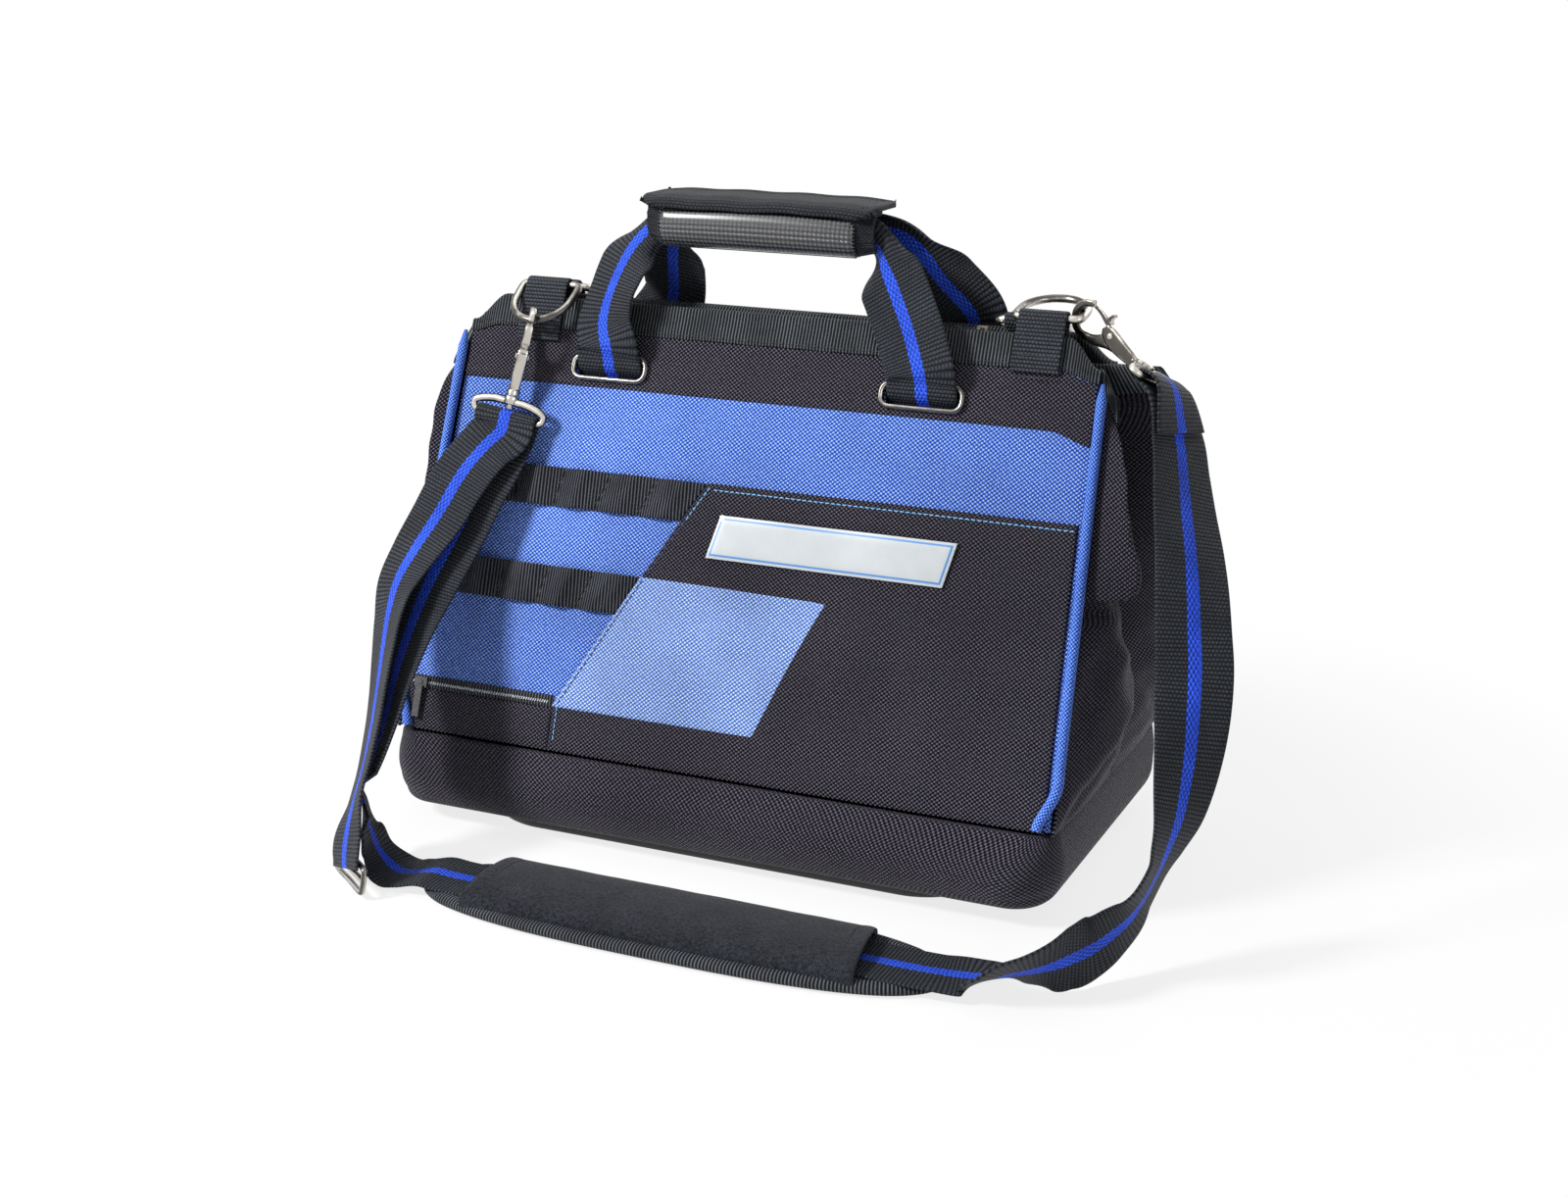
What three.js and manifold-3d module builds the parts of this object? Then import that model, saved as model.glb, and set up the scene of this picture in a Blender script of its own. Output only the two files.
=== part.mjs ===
// Zippered tool bag: a moulded tub on a base slab, two leaning side panels that meet at a zip,
// folded end gussets, webbing handles joined by a grip, and a shoulder strap on snap hooks.
// Millimetres. +X runs along the bag, +Y to its back, +Z up. The origin is the middle of the
// base slab's underside.
import * as THREE from 'three';
import { mergeVertices } from 'three/addons/utils/BufferGeometryUtils.js';
import Module from 'manifold-3d';

const wasm = await Module();
wasm.setup();

const bag = new THREE.Group();
const V = (x, y, z) => new THREE.Vector3(x, y, z);
const clearance = 0.3;

// Base slab and tub
const slabLength = 302;
const slabDepth = 186;
const slabThick = 9;
const slabCorner = 40;
const tubLength = 400;
const tubDepth = 228;
const tubRim = 50;
const tubRimDepth = 202;
const tubCorner = 32;
const tubRimCorner = 14;
const boardCorner = 32;
const tubWall = 4;
const tubBellyHeight = 26;
const tubEdgeInset = 18;
const boardThick = 3;
const boardMargin = 26;

// Side panels: they lean from the seam over the tub's rim to the ridge
const seamY = 98;
const panelSlope = 254;
const panelTopY = 8.6;
const panelThick = 3;
const panelHalfBottom = 195;
const panelHalfTop = 187;
const panelBulge = 4;
const ridgeHalf = 168;
const cornerDrop = 16;
const seamGap = 1.5;

// What is sewn on a panel, by the distance up its slope
const bandLow = 206;
const bindingLow = 237;
const bindingThick = 1.2;
const skinThick = 1;
const pipingRadius = 2.8;
const pipingTop = 232;
const molleHeight = 22;
const molleUpperLow = 136.5;
const molleLowerLow = 81;
const molleStart = -170;
const molleLoop = 26;
const pocketTop = 159;
const pocketLow = 4;
const pocketTopX = -22;
const pocketSlantLow = 26;
const pocketSlantX = -98;
const pocketThick = 1.4;
const patchTop = 103;
const patchLow = 25;
const patchTopRight = 60;
const patchSlant = 34;
const patchThick = 0.8;
const labelLength = 136;
const labelHeight = 24;
const labelLow = 118;
const labelX = -15;
const labelThick = 1.2;
const zipPocketLow = 27;
const innerPocketHeight = 110;
const innerPocketHalf = 150;

// Handles and grip
const grommetX = 93.5;
const grommetS = 217;
const grommetWire = 1.5;
const slotHalfLength = 21.5;
const slotHalfHeight = 5;
const handleWidth = 38;
const handleThick = 2.2;
const foldHalf = 7;
const gripLeft = -73;
const gripRight = 61;
const gripLow = 325;
const gripHeight = 27;
const gripFront = 19;
const gripBack = 15;
const gripWall = 2.6;
const flapThick = 2.4;
const flapOverhang = 4;

// Rings, tabs and hooks
const tabWidth = 25.4;
const tabThick = 1.4;
const tabLow = 230;
const tabLeftX = -142;
const tabRightX = 153;
const backTabX = 142;
const backBarS = 260.5;
const leftBarS = 263;
const rightBarS = 265;
const ringWire = 2.2;
const ringHalf = 17.8;
const ringStraight = 12;
const ringCorner = 2.6;
const ringShift = 1.4;
const hookWire = 2.4;
const hookEye = 8.4;
const postRadius = 1.7;
const postHead = 6.4;
const collarMiddle = 3.6;
const loopDrop = 12.4;
const barWire = 1.9;
const loopMargin = 1.1;

// Shoulder strap and pad
const strapWidth = 38;
const strapThick = 1.8;
const loopHalf = strapWidth / 2 + barWire + loopMargin;
const padLeft = -118;
const padRight = 166;
const padY = -181;
const padHalf = 36;
const padThick = 5;
const sleeveLeft = -88;
const sleeveRight = 136;
const sleeveHeight = 15;
const loopLeg = 8;
const loopEase = 2;
const glideWire = 1.6;
const adjusterTall = 6.5;
const padSlide = 20;

// Zip
const coilRadius = 1.2;
const tapeDrop = 3.2;
const sliderX = 118;
const sliderLength = 12;
const pullLength = 26;

// Finishes
const finish = (color, roughness, metalness = 0) => {
  return new THREE.MeshStandardMaterial({ color, roughness, metalness });
};
const black = finish(0x24222a, 0.85);
const webbing = finish(0x1c1d20, 0.8);
const blue = finish(0x3f6fe0, 0.8);
const moulded = finish(0x2b2c30, 0.6);
const vinyl = finish(0x2a2a2e, 0.35);
const fleece = finish(0x151516, 0.95);
const plate = finish(0xe9edf2, 0.5);
const nickel = finish(0xb4b2ad, 0.3, 1);
const lining = finish(0x3a3a40, 0.9);

function add(name, geometry, material) {
  const mesh = new THREE.Mesh(geometry, material);
  mesh.name = name;
  bag.add(mesh);
}

const range = (n) => Array.from({ length: n }, (_, i) => i);
const mix = (a, b, t) => a + (b - a) * t;
const smooth = (t) => {
  const c = Math.min(1, Math.max(0, t));
  return c * c * (3 - 2 * c);
};

// A closed body from its points and triangles
function body(points, triangles) {
  const geometry = new THREE.BufferGeometry();
  const flat = points.flatMap((p) => [p.x, p.y, p.z]);
  geometry.setAttribute('position', new THREE.Float32BufferAttribute(flat, 3));
  geometry.setIndex(triangles.flat());
  return turnOut(geometry);
}

// Turns every face round when the body's volume comes out negative
function turnOut(geometry) {
  const p = geometry.attributes.position;
  const index = geometry.index.array;
  const at = (i) => V(p.getX(i), p.getY(i), p.getZ(i));
  let volume = 0;
  for (let i = 0; i < index.length; i += 3) {
    volume += at(index[i]).dot(at(index[i + 1]).cross(at(index[i + 2])));
  }
  if (volume < 0) {
    for (let i = 0; i < index.length; i += 3) {
      [index[i], index[i + 1]] = [index[i + 1], index[i]];
    }
  }
  return geometry;
}

// A body lofted through rings of equal count; closed joins the last ring to the first
function loft(rings, closed = false) {
  const n = rings[0].length;
  const points = rings.flat();
  const triangles = [];
  const spans = closed ? rings.length : rings.length - 1;
  for (let r = 0; r < spans; r++) {
    const a = r * n;
    const b = ((r + 1) % rings.length) * n;
    for (let i = 0; i < n; i++) {
      const j = (i + 1) % n;
      triangles.push([a + i, a + j, b + j], [a + i, b + j, b + i]);
    }
  }
  if (!closed) {
    for (const end of [0, rings.length - 1]) {
      for (const [i, j, k] of capTriangles(rings[end])) {
        const face = [end * n + i, end * n + j, end * n + k];
        triangles.push(end === 0 ? [face[0], face[2], face[1]] : face);
      }
    }
  }
  return body(points, triangles);
}

// Triangles over a ring's polygon, which may be hollow on one side
function capTriangles(ring) {
  const normal = V(0, 0, 0);
  ring.forEach((p, i) => {
    const q = ring[(i + 1) % ring.length];
    normal.add(V((p.y - q.y) * (p.z + q.z), (p.z - q.z) * (p.x + q.x), (p.x - q.x) * (p.y + q.y)));
  });
  normal.normalize();
  const across = Math.abs(normal.x) < 0.8 ? V(1, 0, 0) : V(0, 1, 0);
  const u = across.cross(normal).normalize();
  const w = normal.clone().cross(u);
  const flat = ring.map((p) => new THREE.Vector2(p.dot(u), p.dot(w)));
  return THREE.ShapeUtils.triangulateShape(flat, []);
}

// A skin between an outer and an inner grid of points, closed round its rim
function skin(outer, inner) {
  const rows = outer.length;
  const columns = outer[0].length;
  const points = [...outer.flat(), ...inner.flat()];
  const at = (i, j) => i * columns + j;
  const back = rows * columns;
  const triangles = [];
  for (let i = 0; i < rows - 1; i++) {
    for (let j = 0; j < columns - 1; j++) {
      const [a, b, c, d] = [at(i, j), at(i, j + 1), at(i + 1, j + 1), at(i + 1, j)];
      triangles.push([a, b, c], [a, c, d]);
      triangles.push([back + a, back + c, back + b], [back + a, back + d, back + c]);
    }
  }
  const rim = [];
  for (let j = 0; j < columns - 1; j++) rim.push(at(0, j));
  for (let i = 0; i < rows - 1; i++) rim.push(at(i, columns - 1));
  for (let j = columns - 1; j > 0; j--) rim.push(at(rows - 1, j));
  for (let i = rows - 1; i > 0; i--) rim.push(at(i, 0));
  rim.forEach((a, k) => {
    const b = rim[(k + 1) % rim.length];
    triangles.push([a, back + a, back + b], [a, back + b, b]);
  });
  return body(points, triangles);
}

const grid = (rows, columns, place) => {
  return range(rows + 1).map((i) => range(columns + 1).map((j) => place(i / rows, j / columns)));
};

// A skin of one thickness behind a surface given as place(v, u)
function thickened(rows, columns, place, thickness) {
  const step = 1e-3;
  const behind = (v, u) => {
    const v0 = Math.min(v, 1 - step);
    const u0 = Math.min(u, 1 - step);
    const p = place(v0, u0);
    const along = place(v0 + step, u0).sub(p);
    const across = place(v0, u0 + step).sub(p);
    const normal = across.cross(along).normalize();
    return place(v, u).addScaledVector(normal, thickness);
  };
  return skin(grid(rows, columns, place), grid(rows, columns, behind));
}

// Solids for cuts and joins
function solid(geometry) {
  const bare = geometry.clone();
  bare.deleteAttribute('normal');
  bare.deleteAttribute('uv');
  const merged = mergeVertices(bare, 1e-4);
  return new wasm.Manifold(new wasm.Mesh({
    numProp: 3,
    vertProperties: new Float32Array(merged.attributes.position.array),
    triVerts: new Uint32Array(merged.index.array),
  }));
}

function fromSolid(manifold) {
  const mesh = manifold.getMesh();
  const geometry = new THREE.BufferGeometry();
  geometry.setAttribute('position', new THREE.BufferAttribute(mesh.vertProperties, 3));
  geometry.setIndex(new THREE.BufferAttribute(mesh.triVerts, 1));
  return geometry;
}

const cut = (geometry, ...tools) => {
  return fromSolid(tools.reduce((left, tool) => left.subtract(solid(tool)), solid(geometry)));
};
const join = (...pieces) => {
  return fromSolid(pieces.slice(1).reduce((all, piece) => all.add(solid(piece)), solid(pieces[0])));
};

// A webbing strip: a path, the direction of its width at each point, its width and thickness
function strip(path, widths, width, thick, steps) {
  const line = new THREE.CatmullRomCurve3(path, false, 'centripetal');
  const across = new THREE.CatmullRomCurve3(widths, false, 'catmullrom');
  const rings = range(steps + 1).map((k) => {
    const t = k / steps;
    const p = line.getPoint(t);
    const along = line.getTangent(t);
    const w = across.getPoint(t);
    w.addScaledVector(along, -w.dot(along)).normalize();
    const n = along.clone().cross(w).normalize();
    const half = (typeof width === 'function' ? width(t) : width) / 2;
    return [[-1, -1], [1, -1], [1, 1], [-1, 1]].map(([a, b]) => {
      return p.clone().addScaledVector(w, a * half).addScaledVector(n, b * thick / 2);
    });
  });
  return loft(rings);
}

// A round wire along a list of points; closed makes a ring of it
function wire(points, radius, closed, steps, sides = 8) {
  const line = new THREE.CatmullRomCurve3(points, closed, 'centripetal');
  const frames = line.computeFrenetFrames(steps, closed);
  const rings = range(closed ? steps : steps + 1).map((k) => {
    const p = line.getPointAt(k / steps);
    return range(sides).map((i) => {
      const angle = (2 * Math.PI * i) / sides;
      return p.clone()
        .addScaledVector(frames.normals[k], radius * Math.cos(angle))
        .addScaledVector(frames.binormals[k], radius * Math.sin(angle));
    });
  });
  return loft(rings, closed);
}

// A rounded rectangle's outline at one height
function roundedRing(halfLength, halfDepth, corner, z, perCorner = 6) {
  const r = Math.min(corner, halfLength, halfDepth);
  const ring = [];
  for (const [sx, sy, start] of [[1, 1, 0], [-1, 1, 1], [-1, -1, 2], [1, -1, 3]]) {
    for (let k = 0; k <= perCorner; k++) {
      const angle = (Math.PI / 2) * (start + k / perCorner);
      ring.push(V(
        sx * (halfLength - r) + r * Math.cos(angle),
        sy * (halfDepth - r) + r * Math.sin(angle),
        z,
      ));
    }
  }
  return ring;
}

// Base slab
function baseSlab() {
  const chamfer = 3;
  const half = [slabLength / 2, slabDepth / 2];
  return loft([
    roundedRing(half[0] - chamfer, half[1] - chamfer, slabCorner - chamfer, 0),
    roundedRing(half[0], half[1], slabCorner, chamfer),
    roundedRing(half[0], half[1], slabCorner, slabThick),
  ]);
}
add('base_slab', baseSlab(), moulded);

// Tub: rings down its outside to the bottom, then up its inside
const tubFloor = slabThick + clearance;
function tub() {
  const halfLength = tubLength / 2;
  const halfDepth = tubDepth / 2;
  const rim = tubRimDepth / 2;
  const belly = [
    [tubEdgeInset, tubEdgeInset, tubFloor, tubCorner - tubEdgeInset],
    [tubEdgeInset * 0.45, tubEdgeInset * 0.45, mix(tubFloor, tubBellyHeight, 0.16), tubCorner * 0.75],
    [tubEdgeInset * 0.12, tubEdgeInset * 0.12, mix(tubFloor, tubBellyHeight, 0.55), tubCorner],
    [0, 0, tubBellyHeight, tubCorner],
    [0.6, (halfDepth - rim) * 0.25, mix(tubBellyHeight, tubRim, 0.45), mix(tubCorner, tubRimCorner, 0.4)],
    [2, halfDepth - rim, tubRim, tubRimCorner],
  ];
  const outside = belly.map(([dx, dy, z, corner]) => {
    return roundedRing(halfLength - dx, halfDepth - dy, corner, z);
  });
  const inside = belly.map(([dx, dy, z, corner], i) => {
    const height = i === 0 ? z + tubWall : Math.max(z, tubFloor + tubWall + i * 0.2);
    const top = i === belly.length - 1 ? tubRim : height;
    return roundedRing(halfLength - dx - tubWall, halfDepth - dy - tubWall, corner - tubWall, top);
  });
  return loft([...outside, ...inside.reverse()]);
}
add('tub', tub(), black);

// Stiffening board on the tub's floor
function baseBoard() {
  const low = tubFloor + tubWall + clearance;
  const half = [tubLength / 2 - boardMargin, tubDepth / 2 - boardMargin];
  return loft([
    roundedRing(half[0], half[1], boardCorner, low, 4),
    roundedRing(half[0], half[1], boardCorner, low + boardThick, 4),
  ]);
}
add('base_board', baseBoard(), lining);

// A panel's own frame: s runs up its slope from the hinge line, lift stands out of its face
const hingeZ = tubRim + seamGap;
const lean = Math.asin((seamY - panelTopY) / panelSlope);
const upY = Math.sin(lean);
const upZ = Math.cos(lean);
const panelHalf = (s) => mix(panelHalfBottom, panelHalfTop, s / panelSlope);
const panelTop = (x) => {
  return panelSlope - cornerDrop * smooth((Math.abs(x) - ridgeHalf) / (panelHalfTop - ridgeHalf));
};
const bulge = (x, s) => {
  const across = Math.cos((Math.PI / 2) * Math.min(1, Math.abs(x) / panelHalfBottom));
  return panelBulge * across * Math.sin(Math.PI * Math.min(1, Math.max(0, s / panelSlope)));
};
function onPanel(side, x, s, lift = 0) {
  const out = lift + bulge(x, s);
  return V(x, side * (seamY - s * upY + out * upZ), hingeZ + s * upZ + out * upY);
}

// Stations across a panel, closer together where its top corners turn down
const acrossStops = [-1, -0.976, -0.952, -0.925, -0.9, -0.7, -0.5, -0.3, -0.1, 0.1, 0.3, 0.5, 0.7, 0.9, 0.925, 0.952, 0.976, 1];
const rowsOf = (rows, stops, place) => range(rows + 1).map((i) => stops.map((u) => place(i / rows, u)));
const bindingEdge = (x) => bindingLow - (panelSlope - panelTop(x)) * 0.7;

// A flat piece sewn on a panel, between left(s) and right(s), from low to high(x)
function sewn(side, { low, high, left, right, lift, thick, rows, columns }) {
  const place = (shift) => (v, u) => {
    const s0 = mix(low, typeof high === 'function' ? high(0) : high, v);
    const x = mix(left(s0), right(s0), u);
    const s = typeof high === 'function' ? mix(low, high(x), v) : s0;
    return onPanel(side, x, s, shift);
  };
  return skin(grid(rows, columns, place(lift + thick)), grid(rows, columns, place(lift)));
}

// A slot through the panel for a handle, as a cutter
function slot(side, x) {
  const halfStraight = slotHalfLength - slotHalfHeight;
  const ring = (lift) => range(16).map((k) => {
    const angle = (2 * Math.PI * (k + 0.5)) / 16;
    const cx = x + Math.sign(Math.cos(angle)) * halfStraight + slotHalfHeight * Math.cos(angle);
    return onPanel(side, cx, grommetS + slotHalfHeight * Math.sin(angle), lift);
  });
  return loft([ring(-panelThick - 2), ring(skinThick + 3)]);
}
const sideName = (side) => (side < 0 ? 'front' : 'back');
const slots = (side) => [-grommetX, grommetX].map((x) => slot(side, x));

// Side panel
function panel(side) {
  const rows = 7;
  const place = (lift) => (v, u) => {
    return onPanel(side, u * panelHalf(v * panelSlope), v * panelTop(u * panelHalfTop), lift);
  };
  const face = rowsOf(rows, acrossStops, place(0));
  return cut(skin(face, rowsOf(rows, acrossStops, place(-panelThick))), ...slots(side));
}

// Black band below the binding
function topBand(side) {
  const place = (lift) => (v, u) => {
    const high = bindingEdge(u * panelHalfTop) - clearance;
    const s = mix(bandLow, high, v);
    return onPanel(side, u * (panelHalf(s) - 1), s, lift);
  };
  const face = rowsOf(2, acrossStops, place(clearance + skinThick));
  return cut(skin(face, rowsOf(2, acrossStops, place(clearance))), ...slots(side));
}

// Webbing binding folded over a panel's top edge
const bindingTop = panelSlope + clearance + bindingThick;
function binding(side) {
  const out = clearance + bindingThick;
  const rings = acrossStops.map((u) => {
    const x = u * panelHalfTop;
    const top = panelTop(x) + clearance;
    const low = bindingEdge(x);
    const deep = -panelThick;
    return [
      [low, out], [top + bindingThick, out], [top + bindingThick, deep - out], [low, deep - out],
      [low, deep - clearance], [top, deep - clearance], [top, clearance], [low, clearance],
    ].map(([s, lift]) => onPanel(side, x, s, lift));
  });
  return loft(rings);
}

// Half of the zip: a tape that runs from the binding to the coil at the middle of the ridge
const ridgeInner = panelTopY - (panelThick + clearance + bindingThick) * upZ;
const zipTop = hingeZ + bindingTop * upZ - tapeDrop;
function zipTape(side) {
  const half = ridgeHalf - 2;
  const section = [
    [ridgeInner - clearance, zipTop - 1.6], [ridgeInner - clearance, zipTop - 0.8],
    [2 * coilRadius, zipTop - 0.8], [1.7 * coilRadius, zipTop], [0.4, zipTop],
    [0.15, zipTop - coilRadius], [0.4, zipTop - 2 * coilRadius],
    [1.7 * coilRadius, zipTop - 2 * coilRadius], [2 * coilRadius, zipTop - 1.6],
  ];
  return loft([-half, half].map((x) => section.map(([y, z]) => V(x, side * y, z))));
}

// Piping along a panel's side edge
function piping(side, end) {
  const tip = 14;
  const points = range(9).map((k) => {
    const s = mix(pocketLow + 1, pipingTop, k / 8);
    const curl = 4 * smooth(1 - s / tip);
    return onPanel(side, end * (panelHalf(s) + pipingRadius - curl), s, pipingRadius + clearance);
  });
  return wire(points, pipingRadius, false, 12, 6);
}

// Rectangular eyelet round a slot
function grommet(side, x) {
  const halfStraight = slotHalfLength - slotHalfHeight;
  const reach = slotHalfHeight + grommetWire + clearance;
  const lift = skinThick + 2 * clearance + grommetWire;
  const points = range(16).map((k) => {
    const angle = (2 * Math.PI * (k + 0.5)) / 16;
    const cx = x + Math.sign(Math.cos(angle)) * halfStraight + reach * Math.cos(angle);
    return onPanel(side, cx, grommetS + reach * Math.sin(angle), lift);
  });
  return wire(points, grommetWire, true, 24, 6);
}

// Webbing tab folded round a ring's bar
const barLift = clearance + bindingThick + clearance - (ringWire + clearance);
const barRadius = ringWire + clearance;
function tab(side, x, barS) {
  const outer = barLift + barRadius + tabThick / 2;
  const mid = barRadius + tabThick / 2;
  const leg = [tabLow, mix(tabLow, bindingLow, 0.8), bindingLow + 4, bindingTop, barS].map((s) => [s, outer]);
  const fold = range(5).map((k) => {
    const angle = (Math.PI * (k + 1)) / 5;
    return [barS + mid * Math.sin(angle), barLift + mid * Math.cos(angle)];
  });
  const end = [[bindingTop + clearance + tabThick / 2, barLift - mid]];
  const line = [...leg, ...fold, ...end];
  const rings = line.map(([s, lift], i) => {
    const [s0, l0] = line[Math.max(0, i - 1)];
    const [s1, l1] = line[Math.min(line.length - 1, i + 1)];
    const long = Math.hypot(s1 - s0, l1 - l0);
    const [ns, nl] = [-(l1 - l0) / long, (s1 - s0) / long];
    return [[-1, -1], [1, -1], [1, 1], [-1, 1]].map(([a, b]) => {
      const push = (b * tabThick) / 2;
      return onPanel(side, x + (a * tabWidth) / 2, s + ns * push, lift + nl * push);
    });
  });
  return loft(rings);
}

// D-ring: its bar lies in the tab, and tilt turns it up from level, away from the bag's middle
// for a positive reach and over the ridge for a negative one
function ringPlane(side, x, barS, tilt, reach) {
  const bar = onPanel(side, x, barS, barLift);
  const outward = V(0, side * reach * Math.cos(tilt), Math.sin(tilt));
  return { outward, at: (a, b) => V(x + a, bar.y, bar.z).addScaledVector(outward, b) };
}
function ring(plane) {
  const straight = ringHalf - ringCorner;
  const side = [[straight, 0], [ringHalf - 0.8, 0.8], [ringHalf, ringCorner], [ringHalf, ringStraight]];
  const bow = range(7).map((k) => {
    const angle = (Math.PI * (k + 1)) / 8;
    return [ringHalf * Math.cos(angle), ringStraight + ringHalf * Math.sin(angle)];
  });
  const left = side.slice().reverse().map(([a, b]) => [-a, b]);
  const points = [[0, 0], [straight / 2, 0], ...side, ...bow, ...left, [-straight / 2, 0]];
  return wire(points.map(([a, b]) => plane.at(a, b)), ringWire, true, 30, 6);
}

// Each side's panel with what is sewn on it
for (const side of [-1, 1]) {
  const name = sideName(side);
  add(`${name}_panel`, panel(side), side < 0 ? blue : black);
  add(`${name}_top_band`, topBand(side), black);
  add(`${name}_binding`, binding(side), webbing);
  add(`${name}_zip_tape`, zipTape(side), webbing);
  for (const [end, word] of [[-1, 'left'], [1, 'right']]) {
    add(`${name}_piping_${word}`, piping(side, end), blue);
    add(`${name}_grommet_${word}`, grommet(side, end * grommetX), nickel);
    const frontX = end < 0 ? tabLeftX : tabRightX;
    const x = side < 0 ? frontX : end * backTabX;
    add(`${name}_tab_${word}`, tab(side, x, side > 0 ? backBarS : end < 0 ? leftBarS : rightBarS), webbing);
  }
  add(`${name}_inner_pocket`, sewn(side, {
    low: 6,
    high: innerPocketHeight,
    left: () => -innerPocketHalf,
    right: () => innerPocketHalf,
    lift: -panelThick - clearance - skinThick,
    thick: skinThick,
    rows: 3,
    columns: 12,
  }), lining);
}

// Front pocket: its left edge slants, and the blue patch is sewn on its lower left
const slantX = (s) => mix(pocketSlantX, pocketTopX, Math.max(0, (s - pocketSlantLow) / (pocketTop - pocketSlantLow)));
add('front_pocket', sewn(-1, {
  low: pocketLow,
  high: pocketTop,
  left: slantX,
  right: (s) => panelHalf(s) - 2.6,
  lift: clearance,
  thick: pocketThick,
  rows: 8,
  columns: 8,
}), black);
const onPocket = clearance + pocketThick + clearance;
add('pocket_patch', sewn(-1, {
  low: patchLow,
  high: patchTop,
  left: (s) => slantX(s) + 1,
  right: (s) => mix(patchTopRight - patchSlant, patchTopRight, (s - patchLow) / (patchTop - patchLow)),
  lift: onPocket,
  thick: patchThick,
  rows: 5,
  columns: 5,
}), blue);
add('label_plate', sewn(-1, {
  low: labelLow,
  high: labelLow + labelHeight,
  left: (s) => labelX + ((s - labelLow) * 5) / labelHeight,
  right: (s) => labelX + labelLength + ((s - labelLow) * 5) / labelHeight,
  lift: onPocket,
  thick: labelThick,
  rows: 2,
  columns: 8,
}), plate);

// Two rows of webbing sewn down at intervals, so that each interval stands off as a loop
function loopRow(low) {
  const end = (s) => slantX(s) - 1;
  const loops = Math.round((end(low) - molleStart) / molleLoop);
  const per = 4;
  const columns = loops * per;
  const place = (shift) => (v, u) => {
    const s = low + molleHeight * v;
    const x = mix(molleStart, end(s), u);
    const stand = 2.2 * Math.sin(Math.PI * ((u * loops) % 1)) ** 2;
    return onPanel(-1, x, s, shift + stand);
  };
  const outer = grid(1, columns, place(clearance + 1.2));
  return skin(outer, grid(1, columns, place(clearance)));
}
add('webbing_row_upper', loopRow(molleUpperLow), webbing);
add('webbing_row_lower', loopRow(molleLowerLow), webbing);

// Zipped pocket at the lower left, its zip along the top
const zipPocketRight = slantX(zipPocketLow) - 2;
const zipPocketLeft = -panelHalf(zipPocketLow) + 2;
add('zip_pocket', sewn(-1, {
  low: pocketLow,
  high: zipPocketLow - 3,
  left: () => zipPocketLeft,
  right: () => zipPocketRight,
  lift: clearance,
  thick: skinThick,
  rows: 2,
  columns: 6,
}), black);
add('pocket_zip', sewn(-1, {
  low: zipPocketLow - 2.7,
  high: zipPocketLow + 2.7,
  left: () => zipPocketLeft,
  right: () => zipPocketRight,
  lift: clearance,
  thick: 1.6,
  rows: 2,
  columns: 6,
}), webbing);

// The pocket zip's slider, and the pull that hangs from it
const pocketSliderX = zipPocketLeft + 8;
function pocketBox(x0, x1, s0, s1, l0, l1) {
  const ring = (x) => [[s0, l0], [s1, l0], [s1, l1], [s0, l1]].map(([s, l]) => onPanel(-1, x, s, l));
  return loft([ring(x0), ring(x1)]);
}
const pocketSliderLift = clearance + 1.6 + clearance;
add('pocket_slider', join(
  pocketBox(pocketSliderX - 4, pocketSliderX + 4, zipPocketLow - 3, zipPocketLow + 3, pocketSliderLift, pocketSliderLift + 1.4),
  pocketBox(pocketSliderX - 1.2, pocketSliderX + 1.2, zipPocketLow - 1, zipPocketLow + 1, pocketSliderLift + 1, pocketSliderLift + 2),
), nickel);
add('pocket_pull', pocketBox(
  pocketSliderX - 2.2, pocketSliderX + 2.2, zipPocketLow - 20, zipPocketLow - 1 - 2.5 * clearance,
  pocketSliderLift + 1.7, pocketSliderLift + 2.9,
), nickel);

// End gussets. Each half runs from a panel's side edge, out over a fold, and in to the valley at
// the middle, and it closes over the top to the end of the ridge.
const gussetThick = 1.6;
const ridgeEnd = (side, end) => V(end * (ridgeHalf + 5), side * 4.4, hingeZ + (panelSlope - 16) * upZ);
function gussetHalf(side, end, fold) {
  const topS = panelSlope - cornerDrop;
  const edge = (v) => {
    const s = v * topS;
    const p = onPanel(side, end * (panelHalf(s) + gussetThick + 1.2), s, -0.6);
    const ridge = ridgeEnd(side, end);
    p.y = mix(p.y, ridge.y, smooth((v - 0.78) / 0.12));
    p.x = mix(p.x, ridge.x, smooth((v - 0.9) / 0.1));
    p.z = mix(p.z, ridge.z, smooth((v - 0.9) / 0.1));
    return p;
  };
  const valley = (v) => {
    const x = tubLength / 2 - 3 - fold.valley * smooth(v / 0.7);
    const z = mix(hingeZ, hingeZ + (panelSlope - 16) * upZ, v);
    return V(end * mix(x, ridgeHalf + 5, smooth((v - 0.85) / 0.15)), side * 0.4, z);
  };
  const place = (v, u) => {
    const p = edge(v).lerp(valley(v), smooth(u) * 0.5 + u * 0.5);
    const swell = fold.low * (1 - v) + fold.high * Math.exp(-(((v - fold.at) / 0.22) ** 2));
    p.x += end * swell * Math.sin(Math.PI * u) ** 1.4 * (1 - smooth((v - 0.9) / 0.1));
    return p;
  };
  return thickened(12, 8, place, side * end * gussetThick);
}
const frontFold = { valley: 30, low: 5, high: 26, at: 0.6 };
const backFold = { valley: 30, low: 5, high: 44, at: 0.84 };
for (const [end, word] of [[-1, 'left'], [1, 'right']]) {
  add(`gusset_${word}_front`, gussetHalf(-1, end, frontFold), black);
  add(`gusset_${word}_back`, gussetHalf(1, end, backFold), black);
}

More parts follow.
